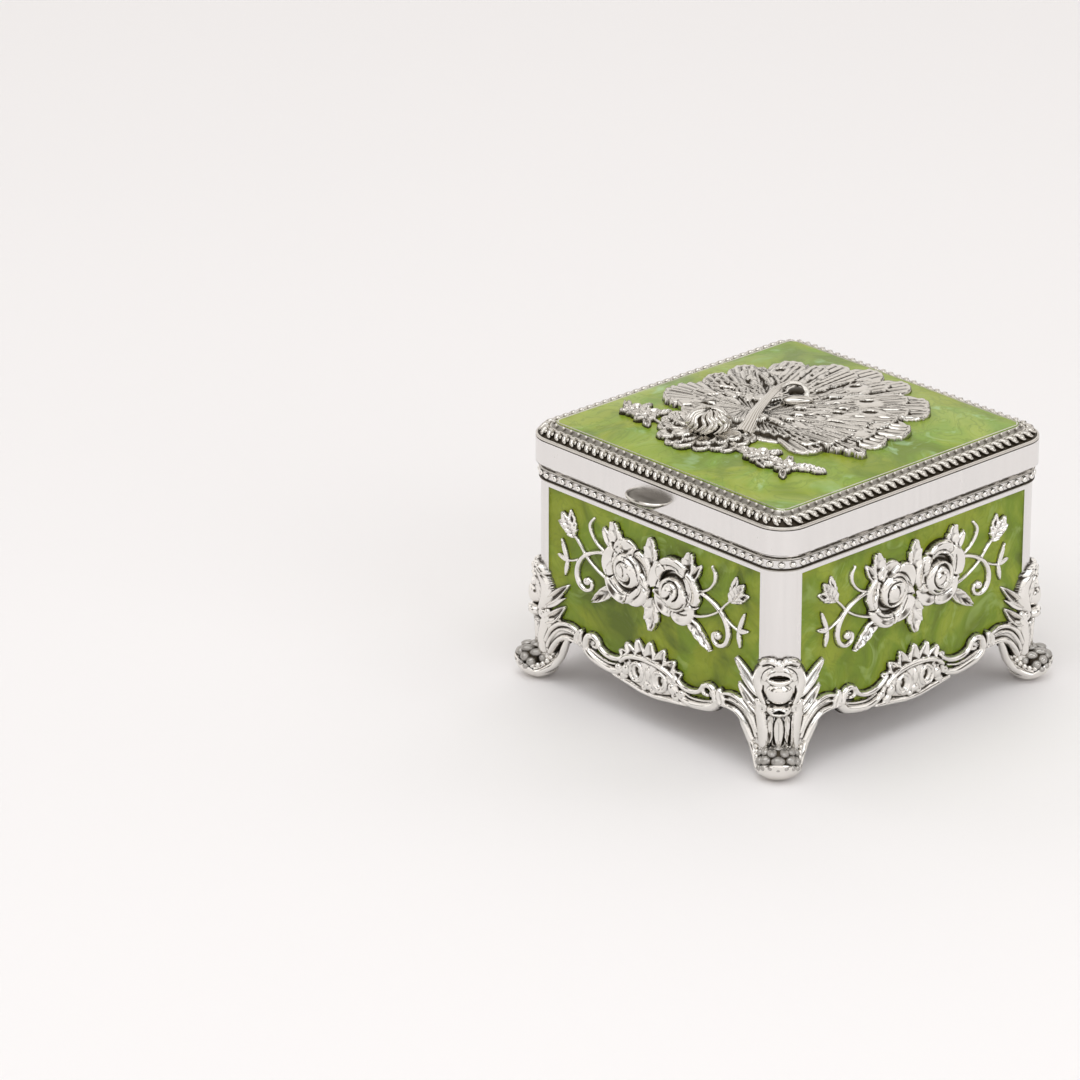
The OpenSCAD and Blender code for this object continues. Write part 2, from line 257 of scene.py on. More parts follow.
def satinPaint():
    paint = Paint("satinSilver")
    spot = paint.place()
    smudge = paint.noise(spot, 70.0, 5.0, 0.62)
    brushed = paint.noise(paint.place((60, 60, 1400)), 3.0, 4.0, 0.6)
    streak = paint.noise(paint.place((260, 260, 12)), 3.0, 5.0, 0.6)
    color = paint.mixColor(streak, tuple(0.86 * c for c in silverLook["satin"]), silverLook["satin"])
    # painted shade: a narrow dark line painted at the gap between the lid and the body, where shade falls,
    # broken here and there
    coords = paint.add("ShaderNodeTexCoord", out="Object")
    height = paint.add("ShaderNodeSeparateXYZ", None, {"Vector": coords}, "Z")
    off = height.math("ABSOLUTE", height - (lidZ - 0.05) * mm)
    gapShade = paint.spread(off, 0.00022, 0.00010) * paint.spread(paint.noise(spot, 260.0, 3.0), 0.40, 0.50)
    return paint.finish({
        "Base Color": paint.mixColor(gapShade * 0.9, color, silverLook["patinaAndShade"]),
        "Metallic": 1.0 - gapShade * 0.4,
        "Roughness": (0.24 + (smudge - 0.5) * 0.16 + (streak - 0.5) * 0.10).clamp(),
        "Normal": paint.bump(brushed * 0.5 + smudge * 0.8, 0.25, 0.00015),
    })


# Marbled enamel: pigment clouds pulled out of shape by a second noise, with thin veins, under a gloss
def enamelPaint(name, colors, scale, swirl, wave):
    paint = Paint(name)
    spot = paint.place()
    values = {"Vector": spot, "Scale": scale * 0.6, "Detail": 2.0}
    pull = paint.add("ShaderNodeTexNoise", None, values, "Color")
    shift = paint.add("ShaderNodeVectorMath", {"operation": "SCALE"}, {0: pull, "Scale": swirl})
    bent = paint.add("ShaderNodeVectorMath", {"operation": "ADD"}, {0: spot, 1: shift})
    cloud = paint.noise(bent, scale, 4.0, 0.55, 0.8)
    hue = paint.noise(bent, scale * 0.7, 3.0, 0.5, 1.5)
    wisp = paint.noise(bent, scale * 2.0, 3.0, 0.5, 1.6)
    ripple = cloud.math("ABSOLUTE", wisp - 0.5)
    vein = paint.spread(ripple, 0.028, 0.0) * colors["veinAmount"]
    body = paint.mixColor(paint.spread(hue, 0.42, 0.60), colors["body"], colors["warm"])
    deep = paint.mixColor(paint.spread(cloud, 0.34, 0.50), colors["deep"], body)
    light = paint.mixColor(paint.spread(cloud, 0.52, 0.66) * 0.85, deep, colors["light"])
    streak = paint.spread(wisp, 0.55, 0.66) * paint.spread(hue, 0.52, 0.40)
    pearl = paint.mixColor(streak * colors["pearlAmount"], light, colors["pearl"])
    return paint.finish({
        "Base Color": paint.mixColor(vein, pearl, colors["deep"]),
        "Roughness": (0.34 + (wisp - 0.5) * 0.2).clamp(),
        "Specular IOR Level": 0.22,
        "Coat Weight": 0.16,
        "Coat Roughness": 0.08,
        "Normal": paint.bump(wave * cloud + 0.35 * wave * wisp, 0.5, 0.0012),
    })


brightSilver = silverPaint("brightSilver", silverLook["bright"], 0.13, 0.19, 0.60, 0.10)
antiqueSilver = silverPaint("antiqueSilver", silverLook["antique"], 0.18, 0.12, 0.52, 0.15)
satinSilver = satinPaint()
panelEnamel = enamelPaint("panelEnamel", {
    "deep": (0.095, 0.135, 0.006), "body": (0.165, 0.245, 0.012), "warm": (0.220, 0.270, 0.014),
    "light": (0.285, 0.345, 0.030), "pearl": (0.34, 0.44, 0.14), "pearlAmount": 0.45, "veinAmount": 0.25},
    62.0, 0.016, 0.8)
lidEnamel = enamelPaint("lidEnamel", {
    "deep": (0.150, 0.225, 0.012), "body": (0.200, 0.330, 0.026), "warm": (0.285, 0.345, 0.024),
    "light": (0.345, 0.430, 0.060), "pearl": (0.40, 0.60, 0.34), "pearlAmount": 0.65, "veinAmount": 0.55},
    50.0, 0.03, 1.0)


def velvetPaint():
    paint = Paint("linerVelvet")
    spot = paint.place()
    nap = paint.noise(spot, 900.0, 3.0, 0.7)
    crush = paint.noise(spot, 60.0, 4.0, 0.6, 0.8)
    color = paint.mixColor(crush, (0.012, 0.011, 0.012), (0.035, 0.032, 0.034))
    return paint.finish({
        "Base Color": color,
        "Roughness": (0.85 + crush * 0.1).clamp(),
        "Sheen Weight": 0.6,
        "Sheen Roughness": 0.35,
        "Normal": paint.bump(nap + crush * 2.0, 0.6, 0.0004),
    })


def steelPaint():
    paint = Paint("plainSteel")
    turned = paint.noise(paint.place((1, 1, 40)), 160.0, 4.0, 0.6)
    color = paint.mixColor(turned, (0.42, 0.42, 0.43), (0.60, 0.60, 0.61))
    return paint.finish({
        "Base Color": color,
        "Metallic": 1.0,
        "Roughness": (0.28 + turned * 0.2).clamp(),
        "Normal": paint.bump(turned, 0.2, 0.0001),
    })


velvet = velvetPaint()
steel = steelPaint()
print("finishes made")


def markRecess(mesh, values):
    mark = mesh.attributes.new("recess", "FLOAT", "POINT")
    mark.data.foreach_set("value", np.asarray(values, np.float32))


# Turns millimetres about the body's middle into a finished piece that rides on a body
def makePiece(name, points, faces, material, body, stands=(), recess=None, angle=45, close=True):
    mesh = bpy.data.meshes.new(name)
    coords = np.asarray(points, float) * mm + np.array([0, midY * mm, 0])
    mesh.from_pydata(coords.tolist(), [], faces)
    if recess is not None:
        markRecess(mesh, recess)
    if close:
        work = bmesh.new()
        work.from_mesh(mesh)
        bmesh.ops.remove_doubles(work, verts=work.verts, dist=0.000004)
        bmesh.ops.recalc_face_normals(work, faces=work.faces)
        work.to_mesh(mesh)
        work.free()
    mesh.materials.append(material)
    mesh.shade_smooth()
    mesh.set_sharp_from_angle(angle=math.radians(angle))
    return addPiece(name, mesh, body, stands)


def addPiece(name, mesh, body, stands):
    piece = bpy.data.objects.new(name, mesh)
    bpy.context.scene.collection.objects.link(piece)
    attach(piece, body)
    if stands:
        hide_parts(*stands)
    return piece


# Several closed shells gathered into one piece
class Casting:
    def __init__(self):
        self.points = []
        self.faces = []
        self.recess = []
        self.count = 0

    def add(self, points, faces, recess=0.0):
        points = np.asarray(points, float)
        self.points.append(points)
        self.faces += [[i + self.count for i in face] for face in faces]
        self.recess.append(np.broadcast_to(np.asarray(recess, float), (len(points),)))
        self.count += len(points)

    def piece(self, name, material, body, stands=(), angle=50, place=None):
        points = np.concatenate(self.points)
        if place:
            points = place(points)
        recess = np.concatenate(self.recess)
        return makePiece(name, points, self.faces, material, body, stands, recess, angle)


# A smooth line through the given points
def smoothPath(points, steps):
    points = np.asarray(points, float)
    ends = np.vstack([2 * points[0] - points[1], points, 2 * points[-1] - points[-2]])
    out = []
    for k in range(1, len(ends) - 2):
        a, b, c, d = ends[k - 1:k + 3]
        for t in np.arange(steps) / steps:
            out.append(0.5 * (2 * b + (c - a) * t + (2 * a - 5 * b + 4 * c - d) * t ** 2
                              + (3 * b - a - 3 * c + d) * t ** 3))
    out.append(points[-1])
    return np.array(out)


# A rounded corner in place of each of an outline's points
def fillet(points, radii, steps=5):
    points = [np.array(p, float) for p in points]
    out = []
    for k, (corner, radius) in enumerate(zip(points, radii)):
        before = points[k - 1] - corner
        after = points[(k + 1) % len(points)] - corner
        if radius <= 0:
            out.append(corner)
            continue
        reach = min(radius, 0.48 * np.linalg.norm(before), 0.48 * np.linalg.norm(after))
        start = corner + before / np.linalg.norm(before) * reach
        end = corner + after / np.linalg.norm(after) * reach
        for t in np.linspace(0, 1, steps):
            out.append((1 - t) ** 2 * start + 2 * t * (1 - t) * corner + t ** 2 * end)
    return np.array(out)


# A counterclockwise rounded rectangle, drawn inset millimetres inside the outline
def roundedLoop(halfW, halfD, radius, inset=0.0, arcSteps=12, runSteps=1):
    out = []
    for k in range(4):
        turn = math.radians(90 * k - 90)
        signX = 1 if k in (0, 1) else -1
        signY = 1 if k in (1, 2) else -1
        centre = np.array([signX * (halfW - radius), signY * (halfD - radius)])
        for t in np.linspace(0, 1, arcSteps):
            a = turn + t * math.pi / 2
            out.append(centre + (radius - inset) * np.array([math.cos(a), math.sin(a)]))
    if runSteps > 1:
        full = []
        for k, p in enumerate(out):
            q = out[(k + 1) % len(out)]
            runs = runSteps if (k + 1) % arcSteps == 0 else 1
            full += [p + (q - p) * j / runs for j in range(runs)]
        out = full
    return np.array(out)


# A closed profile of (inset, height) points carried round the rounded rectangle
def ringSweep(profile, halfW, halfD, radius, arcSteps=12):
    rings = []
    for inset, z in profile:
        loop = roundedLoop(halfW, halfD, radius, inset, arcSteps)
        rings.append(np.column_stack([loop, np.full(len(loop), z)]))
    count, size = len(rings), len(rings[0])
    faces = []
    for i in range(count):
        for j in range(size):
            a, b = i * size + j, i * size + (j + 1) % size
            c, d = ((i + 1) % count) * size + (j + 1) % size, ((i + 1) % count) * size + j
            faces.append([a, b, c, d])
    return np.concatenate(rings), faces


# A closed ball or oval with its poles on Z
def ovalShell(centre, radii, rings=6, sides=10):
    points = [[0, 0, 1]]
    for i in range(1, rings):
        a = math.pi * i / rings
        for j in range(sides):
            b = 2 * math.pi * j / sides
            points.append([math.sin(a) * math.cos(b), math.sin(a) * math.sin(b), math.cos(a)])
    points.append([0, 0, -1])
    last = len(points) - 1
    faces = [[0, 1 + j, 1 + (j + 1) % sides] for j in range(sides)]
    for i in range(rings - 2):
        for j in range(sides):
            a, b = 1 + i * sides + j, 1 + i * sides + (j + 1) % sides
            faces.append([a, a + sides, b + sides, b])
    faces += [[last, last - sides + (j + 1) % sides, last - sides + j] for j in range(sides)]
    return np.array(points) * np.array(radii) + np.array(centre), faces


# A closed tube along a line, with its own radius at each point
def tubeShell(path, radii, sides=8, flat=1.0):
    path = np.asarray(path, float)
    radii = np.interp(np.linspace(0, 1, len(path)), np.linspace(0, 1, len(radii)), radii)
    tangent = np.gradient(path, axis=0)
    tangent /= np.linalg.norm(tangent, axis=1)[:, None]
    up = np.array([0.0, 0.0, 1.0])
    points = []
    for p, t, r in zip(path, tangent, radii):
        side = np.cross(up, t)
        side = side / max(np.linalg.norm(side), 1e-6)
        top = np.cross(t, side)
        for j in range(sides):
            a = 2 * math.pi * j / sides
            points.append(p + r * (math.cos(a) * side + flat * math.sin(a) * top))
    faces = []
    for i in range(len(path) - 1):
        for j in range(sides):
            a, b = i * sides + j, i * sides + (j + 1) % sides
            faces.append([a, b, b + sides, a + sides])
    points += [path[0], path[-1]]
    first, last = len(points) - 2, len(points) - 1
    tail = (len(path) - 1) * sides
    faces += [[first, (j + 1) % sides, j] for j in range(sides)]
    faces += [[last, tail + j, tail + (j + 1) % sides] for j in range(sides)]
    return np.array(points), faces



# Evens out a field of heights with box averages
def soften(field, radius):
    out = field
    width = 2 * radius + 1
    for axis in (0, 1) * 3:
        padded = np.pad(out, [(radius + 1, radius) if k == axis else (0, 0) for k in (0, 1)], mode="edge")
        total = np.cumsum(padded, axis=axis)
        high = np.take(total, range(width, total.shape[axis]), axis=axis)
        low = np.take(total, range(0, total.shape[axis] - width), axis=axis)
        out = (high - low) / width
    return out


def domed(x):
    return np.sqrt(np.clip(1 - x ** 2, 0, 1))


# Heights over a flat grid; each shape keeps the higher of itself and what is there already
class Relief:
    steep = 4.0

    def __init__(self, low, high, step):
        self.step = step
        self.us = np.arange(low[0], high[0] + step / 2, step)
        self.vs = np.arange(low[1], high[1] + step / 2, step)
        self.height = np.full((len(self.us), len(self.vs)), -9.0)

    def window(self, low, high):
        i = np.searchsorted(self.us, [low[0], high[0]])
        j = np.searchsorted(self.vs, [low[1], high[1]])
        spot = (slice(*i), slice(*j))
        u, v = np.meshgrid(self.us[spot[0]], self.vs[spot[1]], indexing="ij")
        return spot, u, v

    def put(self, spot, heights):
        self.height[spot] = np.maximum(self.height[spot], heights)

    # Over the grid round a line: how far off it each point lies, as a share of the half width there
    def beside(self, points, widths):
        path = smoothPath(points, 7)
        half = np.interp(np.linspace(0, 1, len(path)), np.linspace(0, 1, len(widths)), widths) / 2
        reach = max(half) + 0.8
        spot, u, v = self.window(path.min(0) - reach, path.max(0) + reach)
        best = np.full(u.shape, 99.0)
        wide = np.full(u.shape, half[0])
        for k in range(len(path) - 1):
            a, d = path[k], path[k + 1] - path[k]
            t = np.clip(((u - a[0]) * d[0] + (v - a[1]) * d[1]) / max(d @ d, 1e-9), 0, 1)
            w = half[k] + t * (half[k + 1] - half[k])
            x = np.hypot(u - a[0] - t * d[0], v - a[1] - t * d[1]) / w
            near = x < best
            best = np.where(near, x, best)
            wide = np.where(near, w, wide)
        return spot, best, wide

    # A rounded strap along a line; widths are spread evenly along it
    def stroke(self, points, widths, rise, lift=0.0, groove=0.0):
        spot, best, wide = self.beside(points, widths)
        full = max(widths) / 2
        profile = domed(best) - groove * np.exp(-(best / 0.35) ** 2)
        top = lift + rise * (0.35 + 0.65 * wide / full) * profile
        self.put(spot, np.where(best < 1, top, lift - (best - 1) * wide * self.steep))

    # Cuts a rounded line into what is there
    def engrave(self, points, widths, depth, floor=0.15):
        spot, best, wide = self.beside(points, widths)
        there = self.height[spot]
        cut = np.maximum(there - depth * np.clip(1 - best ** 2, 0, 1), np.minimum(there, floor))
        self.height[spot] = cut

    def frameAt(self, centre, angle, reach):
        low = (centre[0] - reach, centre[1] - reach)
        high = (centre[0] + reach, centre[1] + reach)
        spot, u, v = self.window(low, high)
        c, s = math.cos(math.radians(angle)), math.sin(math.radians(angle))
        du, dv = u - centre[0], v - centre[1]
        return spot, du * c + dv * s, dv * c - du * s

    # A dished leaf with a folded middle, veins and toothed edges
    def leaf(self, base, angle, length, width, rise=1.3, lift=0.0, teeth=0, veins=5, bend=0.0, fold=0.6):
        spot, a, b = self.frameAt(base, angle, length + width)
        along = a / length
        b = b - bend * length * np.clip(along, 0, 1) ** 2
        inner = np.clip(along, 0.001, 0.999)
        half = width / 2 * np.sin(math.pi * inner ** 0.8) ** 0.7
        if teeth:
            half = half * (1 + 0.3 * ((inner * teeth) % 1 - 0.5))
        x = np.abs(b) / np.maximum(half, 0.08)
        bowl = (1 - fold) + fold * np.clip(x / 0.7, 0, 1) ** 1.6
        ribs = 0.0
        if veins:
            ribs = 0.10 * np.sin(2 * math.pi * (inner * veins - 0.9 * x)) * np.clip(x * 3, 0, 1)
        top = lift + rise * (bowl + ribs) * np.clip(1 - x ** 6, 0, 1) ** 0.5
        beyond = np.clip(x - 1, 0, None) * np.maximum(half, 0.08)
        beyond = beyond + np.clip(np.abs(along - 0.5) - 0.5, 0, None) * length
        self.put(spot, np.where((x < 1) & (along > 0) & (along < 1), top, lift - beyond * self.steep))

    # An oval boss; dish sinks its middle
    def boss(self, centre, radii, rise, lift=0.0, angle=0.0, dish=0.0, square=2.0):
        spot, a, b = self.frameAt(centre, angle, max(radii) * 1.3 + 0.8)
        x = np.hypot(a / radii[0], b / radii[1])
        top = lift + rise * np.clip(1 - x ** square, 0, 1) ** 0.5 - dish * np.exp(-(x / 0.5) ** 2)
        self.put(spot, np.where(x < 1, top, lift - (x - 1) * min(radii) * self.steep))

    # A cupped petal, whose rim curls over; tilt lifts one of its ends
    def petal(self, centre, radii, angle, lift, cup, tilt=0.0, lean=0.0):
        spot, a, b = self.frameAt(centre, angle, max(radii) * 1.3 + 0.8)
        x = np.hypot(a / radii[0], b / radii[1])
        roll = np.clip((x - 0.80) / 0.20, 0, 1)
        top = lift + cup * x ** 2 + tilt * a / radii[0] + lean * b / radii[1] - cup * 0.9 * roll ** 2
        self.put(spot, np.where(x < 1, top, lift - 0.4 - (x - 1) * min(radii) * self.steep * 1.5))

    # A feather: a stalk that widens to a round ribbed end
    def feather(self, base, angle, length, width, lift, rise=1.0, ribs=4, ribDepth=0.16, narrow=0.3,
                bend=0.0):
        spot, a, b = self.frameAt(base, angle, length + width / 2)
        along = np.clip(a / length, 0, 1)
        b = b - bend * length * along ** 2
        turn = 1 - width * 0.5 / length
        spine = narrow + (1 - narrow) * np.clip(along / turn, 0, 1) ** 0.9
        tip = np.clip((along - turn) / (1 - turn), 0, 1)
        half = width / 2 * spine * np.sqrt(np.clip(1 - tip ** 2, 0.0001, 1))
        x = b / np.maximum(half, 0.05)
        reach = np.maximum(np.abs(x), tip)
        ribbed = ribDepth * np.cos(2 * math.pi * ribs * b / (width * spine)) * np.clip(1.2 - reach, 0, 1)
        rim = 0.22 * np.exp(-((np.maximum(np.abs(b) / (width / 2 * spine), tip) - 0.86) / 0.10) ** 2)
        top = lift + rise * (0.35 + 0.65 * along) + ribbed + rim
        edge = np.clip(1 - np.abs(x) ** 8, 0, 1) ** 0.5
        top = lift + (top - lift) * edge
        out = np.clip(np.abs(x) - 1, 0, None) * np.maximum(half, 0.3)
        out = out + np.clip(-a, 0, None) + np.clip(a - length, 0, None)
        inside = (np.abs(x) < 1) & (a > 0) & (a < length)
        self.put(spot, np.where(inside, top, lift - 0.3 - out * self.steep))

    # Presses an oval hollow into what is there
    def hollow(self, centre, radii, floor, angle=0.0):
        spot, a, b = self.frameAt(centre, angle, max(radii) * 1.3 + 0.5)
        x = np.hypot(a / radii[0], b / radii[1])
        bowl = floor + np.clip(x - 0.6, 0, None) * min(radii) * 3.0
        self.height[spot] = np.where(x < 1.6, np.minimum(self.height[spot], bowl), self.height[spot])

    # A closed solid: the relief above, a flat back below at the height called sole
    def solid(self, sole=-0.5, recessDepth=0.45, blurRadius=0.75, rimShade=1.0):
        height = np.maximum(self.height, sole)
        kept = np.maximum.reduce([height[:-1, :-1], height[1:, :-1], height[:-1, 1:], height[1:, 1:]]) > 0
        for _ in range(6):
            a, b, c, d = kept[:-1, :-1], kept[1:, 1:], kept[1:, :-1], kept[:-1, 1:]
            first = a & b & ~c & ~d
            second = c & d & ~a & ~b
            if not (first.any() or second.any()):
                break
            kept[1:, :-1] |= first
            kept[:-1, :-1] |= second
        around = np.zeros(height.shape, int)
        for di in (0, 1):
            for dj in (0, 1):
                around[di:di + kept.shape[0], dj:dj + kept.shape[1]] += kept
        used = around > 0
        rim = used & (around < 4)
        blurred = soften(np.maximum(height, 0), max(int(blurRadius / self.step / 1.7), 1))
        recess = np.clip((blurred - height) / recessDepth, 0, 1)
        within = soften((around == 4).astype(float), max(int(0.9 / self.step / 1.7), 1))
        recess = recess * np.clip(rimShade + (1 - rimShade) * (within - 0.5) / 0.35, rimShade, 1)
        top = np.where(rim, sole, height)
        number = np.full(height.shape, -1)
        number[used] = np.arange(used.sum())
        i, j = np.nonzero(used)
        points = np.column_stack([self.us[i], self.vs[j], top[used]])
        under = np.full(height.shape, -1)
        inner = used & ~rim
        under[rim] = number[rim]
        under[inner] = used.sum() + np.arange(inner.sum())
        i, j = np.nonzero(inner)
        below = np.column_stack([self.us[i], self.vs[j], np.full(len(i), sole)])
        i, j = np.nonzero(kept)
        faces = np.column_stack([number[i, j], number[i + 1, j], number[i + 1, j + 1], number[i, j + 1]])
        backs = np.column_stack([under[i, j], under[i, j + 1], under[i + 1, j + 1], under[i + 1, j]])
        marks = np.concatenate([recess[used], np.zeros(inner.sum())])
        return np.vstack([points, below]), np.vstack([faces, backs]).tolist(), marks


# Puts (along, height, out) points of a side's relief on that wall, out from the enamel's face
def onSide(side, out=0.0):
    turn = math.radians(sideTurns[side])
    wall = (bodyHalfD if side in ("front", "back") else bodyHalfW) + out
    c, s = math.cos(turn), math.sin(turn)

    def place(points):
        u, v, h = points.T
        y = -(wall + h)
        return np.column_stack([u * c - y * s, u * s + y * c, v])
    return place



# The node tree that sets one item at even steps along a line, turned to follow it
def makeRowTree():
    tree = bpy.data.node_groups.new("rowAlongPath", "GeometryNodeTree")
    sockets = {}
    for name, kind in (("Geometry", "Geometry"), ("Item", "Object"), ("Count", "Int"), ("Size", "Float"),
                       ("Finish", "Material")):
        made = tree.interface.new_socket(name, in_out="INPUT", socket_type="NodeSocket" + kind)
        sockets[name] = made.identifier
    tree.interface.new_socket("Geometry", in_out="OUTPUT", socket_type="NodeSocketGeometry")

    def node(kind, **settings):
        made = tree.nodes.new(kind)
        for key, value in settings.items():
            setattr(made, key, value)
        return made
    start = node("NodeGroupInput")
    line = node("GeometryNodeMeshToCurve")
    even = node("GeometryNodeResampleCurve", mode="COUNT")
    item = node("GeometryNodeObjectInfo")
    tangent = node("GeometryNodeInputTangent")
    turn = node("FunctionNodeAlignRotationToVector", axis="X", pivot_axis="Z")
    repeat = node("GeometryNodeInstanceOnPoints")
    real = node("GeometryNodeRealizeInstances")
    paint = node("GeometryNodeSetMaterial")
    end = node("NodeGroupOutput")
    link = tree.links.new
    link(start.outputs["Geometry"], line.inputs[0])
    link(line.outputs[0], even.inputs["Curve"])
    link(start.outputs["Count"], even.inputs["Count"])
    link(start.outputs["Item"], item.inputs[0])
    link(tangent.outputs[0], turn.inputs["Vector"])
    link(even.outputs[0], repeat.inputs["Points"])
    link(item.outputs["Geometry"], repeat.inputs["Instance"])
    link(turn.outputs[0], repeat.inputs["Rotation"])
    link(start.outputs["Size"], repeat.inputs["Scale"])
    link(repeat.outputs[0], real.inputs[0])
    link(real.outputs[0], paint.inputs["Geometry"])
    link(start.outputs["Finish"], paint.inputs["Material"])
    link(paint.outputs[0], end.inputs[0])
    return tree, sockets


rowTree, rowSockets = makeRowTree()


# One item repeated along a line, and the result made a plain mesh
def rowAlongPath(name, item, paths, closed, count, material, body, stands=(), size=1.0):
    points, faces, recess = item
    itemMesh = bpy.data.meshes.new(name + "Item")
    itemMesh.from_pydata((np.asarray(points, float) * mm).tolist(), [], faces)
    markRecess(itemMesh, recess)
    itemMesh.shade_smooth()
    itemObject = bpy.data.objects.new(name + "Item", itemMesh)
    edges, start = [], 0
    for path in paths:
        last = start + len(path) - 1
        edges += [[k, k + 1] for k in range(start, last)] + ([[last, start]] if closed else [])
        start = last + 1
    path = np.concatenate(paths) * mm + np.array([0, midY * mm, 0])
    lineMesh = bpy.data.meshes.new(name + "Line")
    lineMesh.from_pydata(path.tolist(), edges, [])
    line = bpy.data.objects.new(name + "Line", lineMesh)
    for made in (itemObject, line):
        bpy.context.scene.collection.objects.link(made)
    modifier = line.modifiers.new("row", "NODES")
    modifier.node_group = rowTree
    for key, value in (("Item", itemObject), ("Count", count), ("Size", size), ("Finish", material)):
        modifier[rowSockets[key]] = value
    graph = bpy.context.evaluated_depsgraph_get()
    mesh = bpy.data.meshes.new_from_object(line.evaluated_get(graph), depsgraph=graph)
    mesh.name = name
    if not mesh.materials:
        mesh.materials.append(material)
    for made in (itemObject, line):
        bpy.data.objects.remove(made)
    return addPiece(name, mesh, body, stands)



def makeFloor():
    paint = Paint("studioFloor")
    cloud = paint.noise(paint.place(), 3.0, 3.0)
    low = tuple(0.985 * c for c in lightSetup["floorColor"])
    material = paint.finish({
        "Base Color": paint.mixColor(cloud, low, lightSetup["floorColor"]),
        "Roughness": 0.75,
        "Specular IOR Level": 0.2,
    })
    mesh = bpy.data.meshes.new("studioFloor")
    reach = lightSetup["floorReach"]
    corners = [(-reach, -reach, 0), (reach, -reach, 0), (reach, reach, 0), (-reach, reach, 0)]
    mesh.from_pydata(corners, [], [(0, 1, 2, 3)])
    mesh.materials.append(material)
    floor = bpy.data.objects.new("studioFloor", mesh)
    bpy.context.scene.collection.objects.link(floor)


# White studio with darker patches, which the silver reflects
def makeWorld():
    world = bpy.data.worlds.new("studio")
    bpy.context.scene.world = world
    world.use_nodes = True
    tree = world.node_tree
    tree.nodes.clear()
    spot = tree.nodes.new("ShaderNodeTexCoord")
    split = tree.nodes.new("ShaderNodeSeparateXYZ")
    wave = tree.nodes.new("ShaderNodeTexNoise")
    wave.inputs["Scale"].default_value = 2.1
    wave.inputs["Detail"].default_value = 1.0
    ramp = tree.nodes.new("ShaderNodeValToRGB")
    ramp.color_ramp.elements[0].position = 0.40
    ramp.color_ramp.elements[0].color = (*lightSetup["worldDark"], 1)
    ramp.color_ramp.elements[1].position = 0.5
    ramp.color_ramp.elements[1].color = (*lightSetup["world"], 1)
    back = tree.nodes.new("ShaderNodeBackground")
    back.inputs["Strength"].default_value = lightSetup["worldStrength"]
    out = tree.nodes.new("ShaderNodeOutputWorld")
    tree.links.new(spot.outputs["Generated"], wave.inputs["Vector"])
    tree.links.new(wave.outputs["Fac"], ramp.inputs["Fac"])
    tree.links.new(ramp.outputs["Color"], back.inputs["Color"])
    tree.links.new(back.outputs[0], out.inputs["Surface"])


makeFloor()
makeWorld()
makeLight("keyPanel", (0.25, -0.55, 1.45), (1.4, 1.1), lightSetup["keyPower"], lightSetup["keyColor"])
makeLight("sidePanel", (1.3, 0.1, 0.9), (0.9, 0.9),
          lightSetup["keyPower"] * lightSetup["sideShare"], lightSetup["keyColor"])
print("studio made")

# Two roses with their leaves, curls and buds on each panel
sprayLayout = {
    "rowHeight": 42,       # of the roses' row above the table
    "roseAside": 8.7,
    "roseRadius": 9.2,
    "step": 0.2,
}


def putRose(relief, centre, radius, turn, mirrored):
    scale = radius / 9.2
    sign = -1 if mirrored else 1

    def at(out, angle):
        a = math.radians(sign * (angle + turn))
        return centre[0] + out * scale * math.cos(a), centre[1] + out * scale * math.sin(a)

    def arc(start, end, first, last, steps=9):
        outs = np.linspace(first, last, steps)
        return [at(out, angle) for out, angle in zip(outs, np.linspace(start, end, steps))]
    # outer petals: which way, how far out, radii, height, cup
    for angle, out, radii, lift, cup in ((100, 4.0, (5.2, 5.0), 0.4, 0.9), (28, 4.1, (5.3, 5.4), 0.6, 1.0),
                                         (168, 4.2, (5.2, 5.4), 0.8, 1.2), (305, 4.2, (5.4, 5.8), 1.0, 1.2),
                                         (236, 4.0, (5.6, 6.2), 1.2, 1.3)):
        size = (radii[0] * scale, radii[1] * scale)
        relief.petal(at(out, angle), size, sign * (angle + turn), lift, cup, 0.45, 0.3)
    for angle in (64, 134, 203, 270, 340):
        relief.engrave([at(5.4, angle), at(7.0, angle + 3), at(8.6, angle - 2)], (0.3, 0.8, 1.0), 1.1)
    # the bud: a dome cut into a few crescents, with a dark gap round its lower side
    relief.boss(at(0.7, 60), (4.9 * scale, 4.6 * scale), 1.5, 1.6, square=2.6)
    relief.engrave(arc(155, 322, 5.0, 4.7), (0.4, 1.8, 2.3, 1.8, 0.4), 1.9)
    relief.engrave(arc(-10, 100, 4.7, 4.4), (0.3, 0.8, 0.3), 0.8)
    relief.boss(at(1.2, 75), (3.2 * scale, 2.9 * scale), 1.3, 2.4, square=2.4)
    relief.engrave(arc(200, 380, 3.1, 2.3), (0.3, 1.3, 1.2, 0.3), 1.3)
    relief.engrave(arc(60, 215, 3.4, 2.7), (0.3, 0.9, 0.8, 0.3), 0.9)
    relief.engrave([at(2.6, 100), at(1.7, 75), at(0.7, 20), at(0.7, 300)], (0.3, 0.9, 0.9, 0.4), 1.1)
    for start, end, out in ((190, 285, 7.6), (290, 350, 7.2), (10, 60, 7.0), (120, 175, 7.2)):
        relief.engrave(arc(start, end, out, out - 1.4), (0.2, 0.6, 0.2), 0.5)


